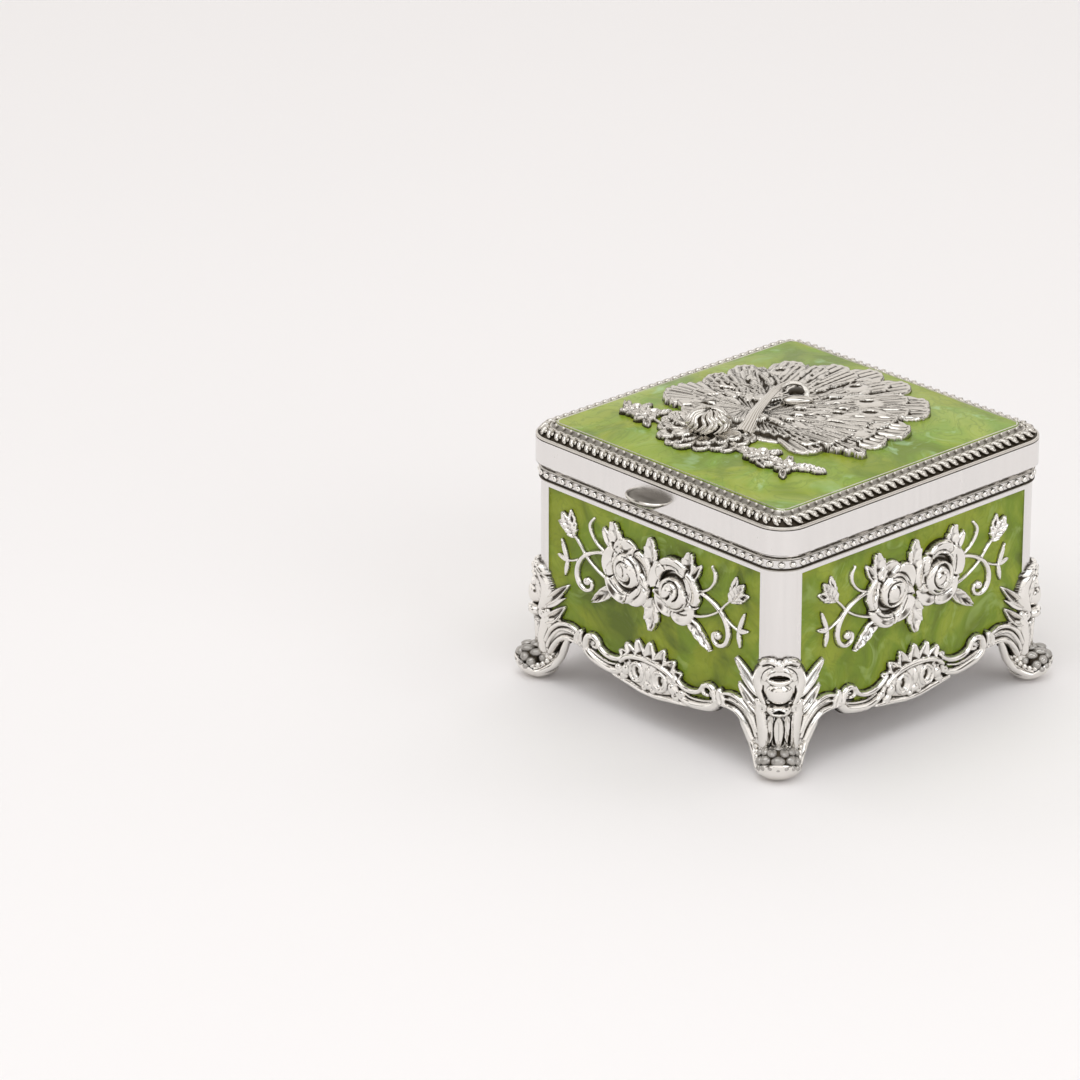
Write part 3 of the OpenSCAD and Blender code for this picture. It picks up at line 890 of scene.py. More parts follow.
def sprayHalf(relief, sign, row):
    def at(*points):
        return [(sign * u, row + v) for u, v in points]

    def leaf(base, angle, *rest, **more):
        bend = more.pop("bend", 0.0)
        relief.leaf(at(base)[0], angle if sign > 0 else 180 - angle, *rest, bend=sign * bend, **more)
    relief.stroke(at((14, 0.5), (18, 1.2), (22, 0.2), (25.5, -1.8), (27.6, -4.5), (28.2, -7.5), (27.2, -10),
                     (25, -11.2), (22.9, -10.4), (22.6, -8.6), (24, -7.8)), (1.0, 1.3, 1.7, 1.7, 1.3, 0.9),
                  1.35)
    relief.boss(at((24.4, -8.6))[0], (1.3, 1.2), 1.5)
    relief.stroke(at((13, -6), (17, -5.5), (21, -4), (24.5, -1.8), (27, 0.8), (29.5, 3.2)),
                  (1.2, 1.0, 0.9, 0.9), 1.1)
    relief.stroke(at((25.4, -1.8), (28.5, -3.8), (31, -4.8), (33, -5.2)), (1.1, 0.8, 0.7), 1.0)
    for angle, length in ((64, 6.0), (8, 3.8), (-84, 4.8)):
        leaf((31.8, -4.9), angle, length, 1.35, 1.1, veins=0, fold=0.2, bend=0.08)
    relief.stroke(at((13, 1.8), (17, 1.6), (20.5, 3), (22.8, 5.6), (23.2, 8), (22, 9.8)),
                  (0.8, 0.9, 1.0, 1.3, 0.9), 1.1)
    # the bud's three leaf tips, the broad middle one on top
    leaf((29.2, 2.6), 72, 7.2, 3.2, 1.0, teeth=4, bend=0.10)
    leaf((29.2, 2.6), 32, 6.8, 3.0, 1.0, teeth=4, bend=-0.10)
    leaf((29.0, 2.4), 52, 7.6, 4.0, 1.4, 0.25, teeth=4)
    # the toothed leaf above the rose and the long leaf below it
    leaf((12.6, 2.6), 79, 9.8, 5.0, 1.5, 0.2, teeth=3, veins=3, fold=0.8)
    leaf((15.0, 4.0), 58, 5.8, 2.6, 1.3, 0.3, veins=0, fold=0.8)
    leaf((13.2, -6.6), -38, 11.4, 4.0, 1.5, 0.1, veins=4, fold=0.9)
    # broad leaf behind the rose's outer edge
    leaf((13.0, -1.5), 12, 5.4, 5.6, 1.3, 0.2, teeth=3, veins=3)


def makeSpray():
    row = sprayLayout["rowHeight"]
    relief = Relief((-39, 25), (39, 53.5), sprayLayout["step"])
    for sign in (1, -1):
        sprayHalf(relief, sign, row)
    relief.leaf((-0.2, row + 2.0), 90, 9.6, 5.0, 1.5, 0.2, teeth=3, veins=3, fold=0.8)
    relief.leaf((0.2, row - 5.6), -90, 9.4, 5.6, 1.6, 0.2, teeth=3, veins=3, fold=0.8)
    aside = sprayLayout["roseAside"]
    putRose(relief, (-aside, row - 1), sprayLayout["roseRadius"], 0, False)
    putRose(relief, (aside, row - 1), sprayLayout["roseRadius"], 35, True)
    return relief.solid()


sprayPoints, sprayFaces, sprayRecess = makeSpray()
for side in sideTurns:
    makePiece("roseSpray_" + side, onSide(side, -enamelSink)(sprayPoints), sprayFaces, brightSilver, "root",
              ["spray_" + side], sprayRecess, 180, close=False)
print("rose sprays made", len(sprayFaces))

# Pierced scrolls between the feet, with a shell in the middle
apronLayout = {"step": 0.2, "archHalf": 39.25}


def apronHalf(relief, sign, spread):
    # the points past the scroll move outwards with the panel's half width
    def at(*points):
        return [(sign * (u + (spread if u > 12 else spread * u / 12)), v) for u, v in points]

    def leaf(base, angle, *rest, **more):
        bend = more.pop("bend", 0.0)
        relief.leaf(at(base)[0], angle if sign > 0 else 180 - angle, *rest, bend=sign * bend, **more)
    # arch from the foot to the scroll: three ridges side by side
    relief.stroke(at((39.4, 9.4), (38.4, 11.0), (37.2, 12.8), (35.4, 15.0), (33.0, 16.7), (30.0, 17.2),
                     (26.8, 16.8)), (3.4, 3.6, 4.0, 4.2, 4.0, 3.6, 3.0), 0.9, 0.1)
    relief.stroke(at((39.6, 12.0), (37.8, 15.4), (35.4, 17.6), (32.8, 18.8), (29.8, 19.1), (26.6, 18.2)),
                  (1.1, 1.3, 1.3, 1.2, 1.0), 1.0, 0.9)
    relief.stroke(at((38.0, 9.2), (37.2, 10.4), (36.3, 11.7), (34.8, 13.4), (32.6, 14.9), (29.8, 15.4),
                     (26.8, 15.2)), (1.3, 1.4, 1.5, 1.5, 1.5, 1.4, 1.2), 1.1, 0.9)
    relief.stroke(at((39.2, 10.4), (38.2, 12.6), (36.2, 15.2), (34.0, 16.8), (30.8, 17.4), (28.0, 17.0)),
                  (1.0, 1.0, 0.9, 0.8, 0.6), 0.6, 0.9)
    # bracket where the arch meets the scroll
    leaf((27.4, 15.0), 110, 4.8, 2.8, 1.3, 0.9, veins=0, fold=0.4)
    leaf((25.6, 14.6), 70, 4.4, 2.2, 1.2, 0.7, veins=0, fold=0.4)
    # C scroll with its curled end and an inner line
    relief.stroke(at((24.6, 16.6), (24.4, 14.6), (22.4, 12.9), (18.4, 11.8), (14.2, 11.4), (10.6, 12.6),
                     (8.8, 15.2)), (2.0, 2.5, 2.6, 2.4, 2.2, 1.9, 1.6), 1.5, 0.3)
    relief.stroke(at((24.4, 15.6), (23.6, 18.0), (21.6, 18.8), (19.8, 17.8), (20.0, 16.2), (21.4, 15.9)),
                  (2.2, 2.0, 1.7, 1.3, 1.0), 1.5, 0.5)
    relief.stroke(at((19.8, 18.2), (18.4, 16.2), (15.6, 15.2), (12.4, 15.4), (10.0, 16.6), (8.6, 18.0)),
                  (1.4, 1.6, 1.7, 1.5, 1.2), 1.3, 0.6)
    relief.stroke(at((22.6, 14.6), (19.0, 13.6), (15.0, 13.2), (11.6, 14.0)), (0.6, 0.8, 0.6), 0.8, 0.4)
    # leaves that grow from the foot over the enamel
    leaf((40.0, 22.2), 138, 11.8, 2.9, 1.2, 0.5, veins=0, fold=1.0)
    leaf((39.6, 21.4), 150, 8.2, 1.5, 0.9, 0.3, veins=0, fold=0.2, bend=-0.06)
    leaf((40.6, 17.0), 150, 10.2, 3.3, 1.2, 0.5, veins=0, fold=1.0, bend=-0.16)
    leaf((40.0, 17.4), 164, 8.0, 1.7, 0.9, 0.3, veins=0, fold=0.2, bend=0.06)
    relief.stroke(at((41.4, 9.0), (41.0, 13.0), (40.2, 17.0), (39.4, 20.0)), (3.2, 3.6, 3.2, 2.2), 1.0, 0.6)


def makeApron(half):
    relief = Relief((-44, 3.5), (44, 34), apronLayout["step"])
    spread = half - apronLayout["archHalf"]
    for sign in (1, -1):
        apronHalf(relief, sign, spread)
    # shell in the middle: body, crest of teeth, arched band, two hollows and small bosses
    relief.boss((0, 14.3), (10.2, 4.7), 1.6, 0.2, square=4)
    crest = 7
    for k in range(crest):
        a = math.radians(150 - 120 * k / (crest - 1))
        tip = 8.2 - 2.2 * abs(math.cos(a)) ** 2
        relief.leaf((3.2 * math.cos(a) * 2.1, 14.6 + 1.4 * math.sin(a)), math.degrees(a), tip, 4.3, 1.2,
                    0.35 + 0.2 * (k % 2), teeth=0, veins=0, fold=0.75)
    relief.stroke(((-10.4, 15.6), (-8, 17.4), (-4, 18.5), (0, 18.8), (4, 18.5), (8, 17.4), (10.4, 15.6)),
                  (1.2, 1.4, 1.5, 1.4, 1.2), 1.1, 1.3)
    for sign in (1, -1):
        relief.stroke([(sign * u, v) for u, v in ((6.4, 15.6), (4.6, 16.9), (2.6, 16.2), (2.1, 14.0),
                                                  (3.2, 12.2), (5.4, 12.0), (6.6, 13.6), (6.4, 15.6))],
                      (0.9, 0.9), 0.8, 1.5)
        relief.stroke([(sign * u, v) for u, v in ((13.6, 10.6), (10.2, 10.3), (7.2, 10.0), (3.4, 9.4),
                                                  (0, 9.2))], (1.0, 1.6, 1.7, 1.6), 1.2, 0.6)
        relief.boss((sign * 8.6, 13.6), (1.3, 1.6), 0.9, 1.3, 20 * sign)
        relief.boss((sign * 9.6, 11.6), (1.5, 1.0), 0.8, 1.0, -20 * sign)
        relief.boss((sign * 1.6, 10.8), (0.9, 0.8), 0.7, 1.4)
        relief.boss((sign * 11.8, 13.2), (1.2, 1.0), 0.8, 0.9)
    relief.boss((0, 15.2), (0.9, 2.2), 0.9, 1.5)
    relief.boss((0, 11.9), (1.5, 1.2), 1.0, 1.4)
    for sign in (1, -1):
        relief.hollow((sign * 4.3, 14.3), (1.35, 1.9), 0.75, -12 * sign)
    return relief.solid(-0.9)


for side in sideTurns:
    half = panelHigh[0] if side in ("front", "back") else nodeBox("enamel_right")[1][1] - midY
    points, faces, recess = makeApron(half)
    makePiece("apron_scroll_" + side, onSide(side, -enamelSink + 0.1)(points), faces, brightSilver, "root",
              ["apron_" + side], recess, 180, close=False)
print("aprons made", len(faces))

# Bead row under the lid
beadSetup = {
    "pitch": 3.05,
    "bead": (1.02, 0.80, 0.88),     # half length, half depth, half height
    "channel": 2.5,                 # height of the sunk channel
}


def itemOf(*shells):
    points, faces, recess, count = [], [], [], 0
    for shell, mark in shells:
        points.append(np.asarray(shell[0], float))
        faces += [[i + count for i in face] for face in shell[1]]
        recess.append(np.broadcast_to(np.asarray(mark, float), (len(shell[0]),)))
        count += len(shell[0])
    return np.concatenate(points), faces, np.concatenate(recess)


def ringPiece(name, profile, radii, marks, halves, radius, material, body, stands, angle=50):
    rounded = fillet(profile, radii)
    points, faces = ringSweep(rounded, halves[0], halves[1], radius)
    perLoop = len(points) // len(rounded)
    corner = np.array(profile, float)
    nearest = [int(np.argmin(np.linalg.norm(corner - p, axis=1))) for p in rounded]
    recess = np.repeat([marks[k] for k in nearest], perLoop)
    return makePiece(name, points, faces, material, body, stands, recess, angle)


def loopAt(halves, radius, inset, z):
    loop = roundedLoop(halves[0], halves[1], radius, inset, 10, 4)
    return np.column_stack([loop, np.full(len(loop), z)])


def loopLength(halves, radius, inset):
    return 4 * (halves[0] + halves[1] - 2 * radius) + 2 * math.pi * (radius - inset)


def makeBeadRow():
    halves = (bodyHalfW, bodyHalfD)
    half = beadSetup["channel"] / 2
    low, high = beadZ - half, beadZ + half
    profile = ((0.3, low - 0.75), (-0.15, low - 0.7), (-0.62, low - 0.35), (-0.55, low), (0.02, low + 0.12),
               (0.02, high - 0.12), (-0.62, high), (-0.72, high + 0.45), (-0.2, high + 0.85),
               (0.3, high + 0.85))
    ringPiece("beadChannel", profile, (0, 0.1, 0.3, 0.1, 0.1, 0.1, 0.1, 0.3, 0.1, 0),
              (0, 0, 0.2, 0.9, 1, 1, 0.9, 0.2, 0, 0), halves, bodyR, antiqueSilver, "root", ["bead_rim"])
    count = round(loopLength(halves, bodyR, -0.3) / beadSetup["pitch"])
    path = loopAt(halves, bodyR, -0.22, beadZ)
    bead = ovalShell((0, 0, 0), beadSetup["bead"], 6, 9)
    rowAlongPath("beadRow", itemOf((bead, 0.0)), [path], True, count, brightSilver, "root", ["bead_rim"])


makeBeadRow()
print("bead row made")

# Leaves and dots on the slope between the lid's band and its enamel
borderSetup = {
    "pitch": 2.85,
    "leafIn": 2.15,        # how far in from the band's face each row runs
    "dotIn": 4.75,
}


# Leans a shell to the slope, turns it about its height and moves it
def tipped(shell, slope, turn=0.0, shift=(0, 0, 0)):
    points = np.asarray(shell[0], float)
    c, s = math.cos(math.radians(turn)), math.sin(math.radians(turn))
    x, y, z = points.T
    x, y = x * c - y * s, x * s + y * c
    c, s = math.cos(slope), math.sin(slope)
    points = np.column_stack([x, y * c - z * s, y * s + z * c])
    return points + np.array(shift), shell[1]


def makeBorder():
    halves = (lidHalfW, lidHalfD)
    inner = lidHalfW - enamelHalfW
    slope = math.atan2(borderZ - bandZ - 0.9, inner - 0.6)

    def slopeZ(inset):
        return bandZ + 0.75 + (inset - 0.6) * math.tan(slope)
    profile = ((0.25, bandZ - 0.15), (0.30, bandZ + 0.12), (0.02, bandZ + 0.22), (0.05, bandZ + 0.85),
               (0.55, bandZ + 0.95), (0.75, bandZ + 0.62), (3.4, slopeZ(3.4) - 0.4),
               (3.6, slopeZ(3.6) + 0.02), (3.9, slopeZ(3.9) + 0.05), (4.3, slopeZ(4.3) - 0.3),
               (5.1, slopeZ(5.1) - 0.35), (inner + 0.1, borderZ + 0.02), (inner + 0.45, borderZ - 0.2),
               (inner + 0.4, bandZ + 1.0), (2.0, bandZ - 0.2))
    ringPiece("borderBed", profile, (0, 0, 0.15, 0.2, 0.15, 0.1, 0, 0.15, 0.15, 0.1, 0, 0.15, 0, 0, 0),
              (0.6, 0.6, 0, 0, 0.15, 0.62, 0.55, 0.1, 0.1, 0.35, 0.35, 0.05, 0, 0, 0), halves, lidR,
              antiqueSilver, "lid", ["lid_border"])

    def onSlope(line, lift):
        return [(a, b * math.cos(slope), b * math.sin(slope) + lift + c) for a, b, c in line]
    leaf = tubeShell(onSlope(((-1.55, 1.15, 0.0), (-0.75, 1.25, 0.15), (-0.05, 0.75, 0.25),
                              (0.20, -0.05, 0.3), (0.65, -0.85, 0.2), (1.45, -1.15, 0.0)), 0.25),
                     (0.32, 0.52, 0.74, 0.80, 0.58, 0.3), 6)
    comma = tubeShell(onSlope(((0.75, 0.75, 0.0), (1.25, 0.30, 0.1), (1.45, -0.30, 0.0)), 0.2),
                      (0.28, 0.50, 0.26), 5)
    knobPlace = onSlope(((-1.05, 1.05, 0.15),), 0.3)[0]
    knob = tipped(ovalShell((0, 0, 0), (0.46, 0.42, 0.42), 4, 6), slope, 0, knobPlace)
    rows = (
        ("borderLeaves", borderSetup["leafIn"], itemOf((leaf, 0.0), (comma, 0.1), (knob, 0.0))),
        ("borderDots", borderSetup["dotIn"], itemOf((ovalShell((0, 0, 0.3), (0.52, 0.48, 0.5), 5, 8), 0.0))),
    )
    for name, inset, item in rows:
        count = round(loopLength(halves, lidR, inset) / borderSetup["pitch"])
        path = loopAt(halves, lidR, inset, slopeZ(inset) - 0.15)
        rowAlongPath(name, item, [path], True, count, antiqueSilver, "lid", ["lid_border"])


makeBorder()
print("lid border made")

# The lid's enamel, domed and softened at its rim
crownSetup = {"rimHeight": 0.15, "power": 2.6, "rings": 26}


def crownHeight(x, y):
    q = ((np.abs(x) / enamelHalfW) ** 4 + (np.abs(y) / enamelHalfD) ** 4) ** 0.25
    rise = crownZ - borderZ + crownSetup["rimHeight"] + 0.1
    return borderZ - crownSetup["rimHeight"] + rise * np.clip(1 - q ** crownSetup["power"], 0, 1) ** 0.85


def makeLidEnamel():
    loop = roundedLoop(enamelHalfW + 0.25, enamelHalfD + 0.25, 3.0, 0.0, 8, 22)
    rings = [loop * f for f in np.sin(np.linspace(0, 1, crownSetup["rings"])[1:] * math.pi / 2)]
    flat = np.concatenate(rings)
    points = [np.array([[0, 0, crownHeight(0, 0)]]),
              np.column_stack([flat, crownHeight(flat[:, 0], flat[:, 1])])]
    size = len(loop)
    total = 1 + len(flat)
    below = borderZ - 1.15
    points += [np.column_stack([loop, np.full(size, below)]), np.array([[0, 0, below]])]
    faces = [[0, 1 + j, 1 + (j + 1) % size] for j in range(size)]
    for i in range(len(rings)):
        for j in range(size):
            a, b = 1 + i * size + j, 1 + i * size + (j + 1) % size
            faces.append([a, a + size, b + size, b])
    faces += [[total + size, total + (j + 1) % size, total + j] for j in range(size)]
    makePiece("lidEnamelCrown", np.concatenate(points), faces, lidEnamel, "lid", ["lid_enamel"], angle=60)


makeLidEnamel()
print("lid enamel made")


# Puts (x, y, height) points of a relief on the enamel's crown
def onCrown(points):
    x, y, h = points.T
    return np.column_stack([x, y, crownHeight(x, y) + h])


# Peacock's tail: a fan of feathers round the root of the neck
tailSetup = {
    "pivot": (-3.0, -9.5),
    "centre": (-0.5, 8.0),
    "radius": 33.0,
    "from": -8.0,
    "to": 196.0,
    "step": 0.27,
}


def tailReach(angle):
    px, py = tailSetup["pivot"]
    cx, cy = tailSetup["centre"]
    dx, dy = math.cos(math.radians(angle)), math.sin(math.radians(angle))
    along = (cx - px) * dx + (cy - py) * dy
    off = (cx - px) * dy - (cy - py) * dx
    return along + math.sqrt(tailSetup["radius"] ** 2 - off ** 2)


def makeTail():
    rng = np.random.default_rng(7)
    relief = Relief((-39, -22), (37, 43), tailSetup["step"])
    pivot = tailSetup["pivot"]
    relief.boss((-1.5, 6), (28, 26), 1.3, 0.2)
    # two layers of ribbed feathers, the longest lowest: share of the length, count, width, lift, ribs
    for level, (share, count, width, lift, ribs) in enumerate(((1.0, 15, 10.6, 0.3, 5),
                                                               (0.86, 16, 8.2, 1.0, 4))):
        for k in range(count):
            t = (k + 0.5 * level) / (count - 1)
            if t > 1:
                continue
            angle = tailSetup["from"] + (tailSetup["to"] - tailSetup["from"]) * t + rng.uniform(-2, 2)
            length = tailReach(angle) * share * rng.uniform(0.96, 1.0)
            relief.feather(pivot, angle, length, width * rng.uniform(0.9, 1.08), lift + 0.35 * (k % 2), 1.0,
                           ribs, 0.34, 0.12, rng.uniform(-0.05, 0.05))
    # rings of small barbs between the neck and the long feathers, and rounded scales among them
    for ring in range(10):
        share = 0.22 + 0.058 * ring
        count = 9 + 2 * ring
        for k in range(count):
            angle = -4 + 196 * (k + 0.5 * (ring % 2)) / count + rng.uniform(-3, 3)
            a = math.radians(angle)
            reach = tailReach(angle) * share
            spot = (pivot[0] + reach * math.cos(a), pivot[1] + reach * math.sin(a))
            relief.leaf(spot, angle + rng.uniform(-22, 22), rng.uniform(4.4, 6.2), rng.uniform(1.7, 2.5),
                        0.8, 2.15 - 0.11 * ring + rng.uniform(-0.3, 0.3), veins=0,
                        fold=rng.choice([0.15, 0.6]))
    for x, y, size, turn in ((13, 6, 4.6, 20), (18, 13, 5.0, 40), (23, 1, 4.6, 5), (10, -1, 4.4, 0),
                             (12, 18, 4.6, 55), (-20, 18, 4.4, 130), (2, 24, 4.4, 85)):
        relief.boss((x, y), (size, size * 0.8), 0.9, 1.5, turn, square=4)
        relief.hollow((x - 0.8, y), (size * 0.6, size * 0.42), 1.7, turn)
    # long wing along the lower right: a shaft, slanted barbs below it and a ribbed fan at its end
    for k in range(11):
        f = k / 10
        relief.feather((1 + 22 * f, -13.0 + 7.5 * f), -42 + 34 * f, 6.0 + 4.8 * f, 3.1, 1.0 + 0.2 * (k % 2),
                       1.0, 2, 0.34, 0.5, 0.10)
    for k in range(6):
        relief.feather((1 + 1.2 * k, -11.5 + 1.9 * k), 2 + 6 * k, 25 - 1.2 * k, 3.2, 1.7, 0.8, 2, 0.24, 0.4,
                       0.06)
    # ribbed lobe at the lower left
    for k in range(10):
        relief.feather((-14.0, -9.0), 150 + 7.5 * k, 19.5 - 0.28 * (k - 4) ** 2, 4.0, 1.2 + 0.1 * (k % 2),
                       0.8, 1, 0.3, 0.35, 0.04)
    # loose plumes that fan out from the root of the neck
    for k in range(12):
        a = math.radians(72 + 11.5 * k)
        reach = 16 + 4.5 * math.sin(1.7 * k)
        start = (-6.5 + 1.5 * math.cos(a), -1.5 + 1.5 * math.sin(a))
        middle = (start[0] + 0.55 * reach * math.cos(a), start[1] + 0.55 * reach * math.sin(a))
        end = (start[0] + reach * math.cos(a + 0.2), start[1] + reach * math.sin(a + 0.2))
        relief.stroke((start, middle, end), (1.1, 0.8, 0.7, 1.2, 0.6), 0.7, 2.2)
    # body feathers between the neck and the rose
    for k in range(12):
        a = -168 + 14 * k
        relief.feather((-5.5, -9.0), a, 9.0, 2.9, 2.0 + 0.15 * (k % 3), 0.8, 2, 0.22, 0.4)
    return relief.solid(-0.6, 0.22, 0.9, 0.35)


points, faces, recess = makeTail()
makePiece("peacockTail", onCrown(points), faces, antiqueSilver, "lid", ["peacock_tail"], recess, 180,
          close=False)
print("tail made", len(faces))

# Peacock's neck, a bundle of strands that arches over to the head
neckSetup = {"strands": 9, "twist": 0.9}


def makePeacock():
    casting = Casting()
    middle = smoothPath(((3.0, -19.6, 74.9), (1.2, -15.6, 76.0), (-1.2, -10.8, 77.2), (-3.4, -5.1, 78.4),
                         (-5.1, 0.6, 79.5), (-4.5, 4.8, 80.5), (-1.8, 6.8, 80.4), (0.3, 6.6, 79.2),
                         (1.0, 5.8, 77.9)), 6)
    count = neckSetup["strands"]
    run = np.linspace(0, 1, len(middle))
    tangent = np.gradient(middle, axis=0)
    tangent /= np.linalg.norm(tangent, axis=1)[:, None]
    side = np.cross(tangent, (0, 0, 1))
    side /= np.linalg.norm(side, axis=1)[:, None]
    top = np.cross(side, tangent)
    spread = np.interp(run, (0, 0.3, 0.55, 1), (2.2, 1.25, 0.85, 0.55))
    for k in range(count):
        a = math.pi * k / (count - 1)
        twist = a + neckSetup["twist"] * run
        aside = side * (spread * np.cos(twist))[:, None]
        above = top * (0.55 * spread * np.sin(twist) - 0.2)[:, None]
        line = middle + aside + above
        casting.add(*tubeShell(line, (0.46, 0.33, 0.28, 0.25, 0.22), 7), 0.0)
    casting.add(*tubeShell(middle - top * 0.3, (1.5, 0.95, 0.65, 0.55, 0.35), 10, 0.6), 0.8)
    # the head, a smooth drop under the curve of the neck, and the dark hollow between them
    a = math.radians(47)
    head, faces = ovalShell((0, 0, 0), (4.4, 2.0, 1.35), 10, 16)
    head[:, 1] *= 1 - 0.12 * head[:, 0] / 4.4
    turned = np.column_stack([head[:, 0] * math.cos(a) - head[:, 1] * math.sin(a),
                              head[:, 0] * math.sin(a) + head[:, 1] * math.cos(a), head[:, 2]])
    casting.add(turned + np.array((-0.5, 4.0, 77.0)), faces, 0.0)
    casting.add(*ovalShell((-4.4, 7.6, 77.4), (2.2, 2.4, 0.9), 8, 12), 1.0)
    casting.piece("peacockNeck", antiqueSilver, "lid", ["peacock_body"], 60)


makePeacock()
print("neck made")

# Peony at the root of the tail
peonySetup = {"centre": (-5.6, -23.5), "middle": 76.7, "radius": 5.5, "tall": 3.7, "strands": 20,
              "sway": 0.19}


def makePeony():
    rng = np.random.default_rng(11)
    cx, cy = peonySetup["centre"]
    casting = Casting()
    z, r, tall = peonySetup["middle"], peonySetup["radius"], peonySetup["tall"]
    casting.add(*ovalShell((cx, cy, z), (r * 0.95, r * 0.95, tall * 0.95), 14, 22), 0.6)
    # wavy strands from the foot of the ball over its crown
    for k in range(peonySetup["strands"]):
        turn = 2 * math.pi * k / peonySetup["strands"] + rng.uniform(-0.05, 0.05)
        phase = 0.8 + rng.uniform(-0.55, 0.55)
        thick = rng.uniform(0.8, 1.25)
        line = []
        for t in np.linspace(-0.35, rng.uniform(1.15, 1.5), 20):
            a = turn + 0.3 * t + peonySetup["sway"] * math.sin(4.6 * t + phase)
            out = r * math.cos(t)
            line.append((cx + out * math.cos(a), cy + out * math.sin(a), z + tall * math.sin(t)))
        casting.add(*tubeShell(line, [thick * r0 for r0 in (0.35, 0.72, 0.76, 0.60, 0.30)], 7), 0.0)
    casting.piece("peonyBall", antiqueSilver, "lid", ["peony"], 60)
    relief = Relief((cx - 19, cy - 15), (cx + 17, cy + 12), 0.22)
    # broad petals round the ball's lower side, then a shorter row above them
    for out, count, radii, lift, start, end in ((10.2, 11, (3.5, 2.9), 0.2, -186, 22),
                                                (7.4, 10, (3.2, 2.5), 0.8, -200, 60)):
        for k in range(count):
            a = math.radians(start + (end - start) * k / (count - 1) + rng.uniform(-5, 5))
            reach, size = out * rng.uniform(0.93, 1.05), rng.uniform(0.85, 1.12)
            spot = (cx + 1.12 * reach * math.cos(a), cy + 0.95 * reach * math.sin(a))
            lean = math.degrees(a) + rng.uniform(-16, 16)
            relief.petal(spot, (radii[0] * size, radii[1] * size), lean, lift + 0.3 * (k % 2), 1.0, 0.3,
                         0.35)
            for turn in (-0.45, 0, 0.45):
                tip = (spot[0] + 2.7 * math.cos(a + turn), spot[1] + 2.7 * math.sin(a + turn))
                relief.engrave([spot, tip], (0.25, 0.45, 0.25), 0.45)
    relief.boss((cx, cy), (6.0, 6.0), 1.6, 0.6)
    points, faces, recess = relief.solid(-0.6, 0.42, 0.8)
    makePiece("peonyPetals", onCrown(points), faces, antiqueSilver, "lid", ["peony"], recess, 180,
              close=False)


makePeony()
print("peony made")

# Where each flower or leaf lies: x, y, radius, which way it points
garland = (
    ("flower", -30.6, -27.0, 2.6, 20), ("leaf", -33.4, -25.6, 4.4, 140), ("leaf", -29.6, -24.4, 3.8, 80),
    ("flower", -25.0, -27.4, 3.2, 60), ("leaf", -22.6, -29.6, 4.2, -40), ("leaf", -23.2, -24.6, 4.0, 60),
    ("flower", 15.4, -26.6, 2.9, 15), ("leaf", 12.4, -26.2, 4.2, 175), ("leaf", 16.6, -24.2, 4.4, 60),
    ("leaf", 17.4, -28.2, 4.4, -30), ("leaf", 18.4, -26.0, 4.8, 10),
    ("flower", 25.4, -26.4, 2.5, 35), ("leaf", 23.2, -27.6, 4.0, 200), ("leaf", 26.6, -28.4, 4.0, -50),
    ("leaf", 27.0, -24.8, 5.6, 40), ("leaf", 24.4, -24.2, 4.0, 120), ("leaf", 30.6, -22.8, 4.6, 30),
)


def makeGarland():
    relief = Relief((-43, -41), (38, -14), 0.2)
    stems = (((-33, -26), (-29, -27.5), (-24, -27.5), (-18, -28.5)),
             ((8, -27), (12, -27), (16, -26.5), (20, -26)), ((22, -27), (26, -26), (30, -23.5), (33.5, -21)))
    for stem in stems:
        relief.stroke(stem, (0.7, 0.9, 0.7), 0.9, 0.2)
    for kind, x, y, size, turn in garland:
        if kind == "leaf":
            relief.leaf((x, y), turn, size, size * 0.55, 1.2, 0.3, 0, 4, 0.1, 0.75)
            continue
        for k in range(5):
            a = math.radians(turn + 72 * k)
            spot = (x + 0.62 * size * math.cos(a), y + 0.62 * size * math.sin(a))
            relief.petal(spot, (0.66 * size, 0.56 * size), math.degrees(a), 0.8, 1.0, 0.2, 0.35)
        relief.boss((x, y), (0.34 * size, 0.34 * size), 0.8, 1.1)
    return relief.solid(-0.6, 0.45, 0.6)


points, faces, recess = makeGarland()
makePiece("lidGarland", onCrown(points), faces, antiqueSilver, "lid", ["lid_leaves"], recess, 180,
          close=False)
print("garland made", len(faces))

# Scroll feet; each table runs along the foot in millimetres
footSetup = {
    "legFront": ((2.4, 8.6), (4.0, 7.8), (6.0, 7.2), (8.0, 6.7), (11.0, 6.6), (15.0, 6.8), (18.0, 7.2),
                 (20.0, 7.5)),
    "legBack": ((2.4, 5.4), (3.6, 4.6), (5.6, 3.0), (8.0, 1.4), (10.2, 0.2), (12.5, -1.6), (14.9, -2.6)),
    "legHalf": ((2.4, 4.4), (5.0, 4.9), (8.0, 5.2), (12.0, 5.7), (16.0, 6.0), (20.0, 5.7), (21.0, 5.6)),
    "sole": ((-2.0, 13.0), (-0.8, 11.0), (0.5, 8.8), (1.8, 6.4), (3.2, 4.3), (5.0, 2.4), (7.0, 1.2),
             (9.2, 0.9)),
    "strap": ((0.0, 9.7, 14.6), (0.5, 9.1, 12.6), (1.1, 8.2, 10.5), (1.7, 7.3, 8.6), (2.6, 6.5, 6.8),
              (3.8, 6.0, 5.2), (5.4, 5.6, 4.0), (7.2, 5.4, 3.0), (9.0, 5.3, 2.6)),
    "beadEdge": ((3.0, 5.9, 12.6), (3.4, 5.9, 10.6), (4.0, 5.8, 8.6), (4.8, 5.6, 6.9), (6.2, 5.5, 5.5),
                 (7.8, 5.4, 4.7), (9.6, 5.2, 4.4)),
    "ball": (9.7, 4.9, 3.7),
    "step": 0.17,
}


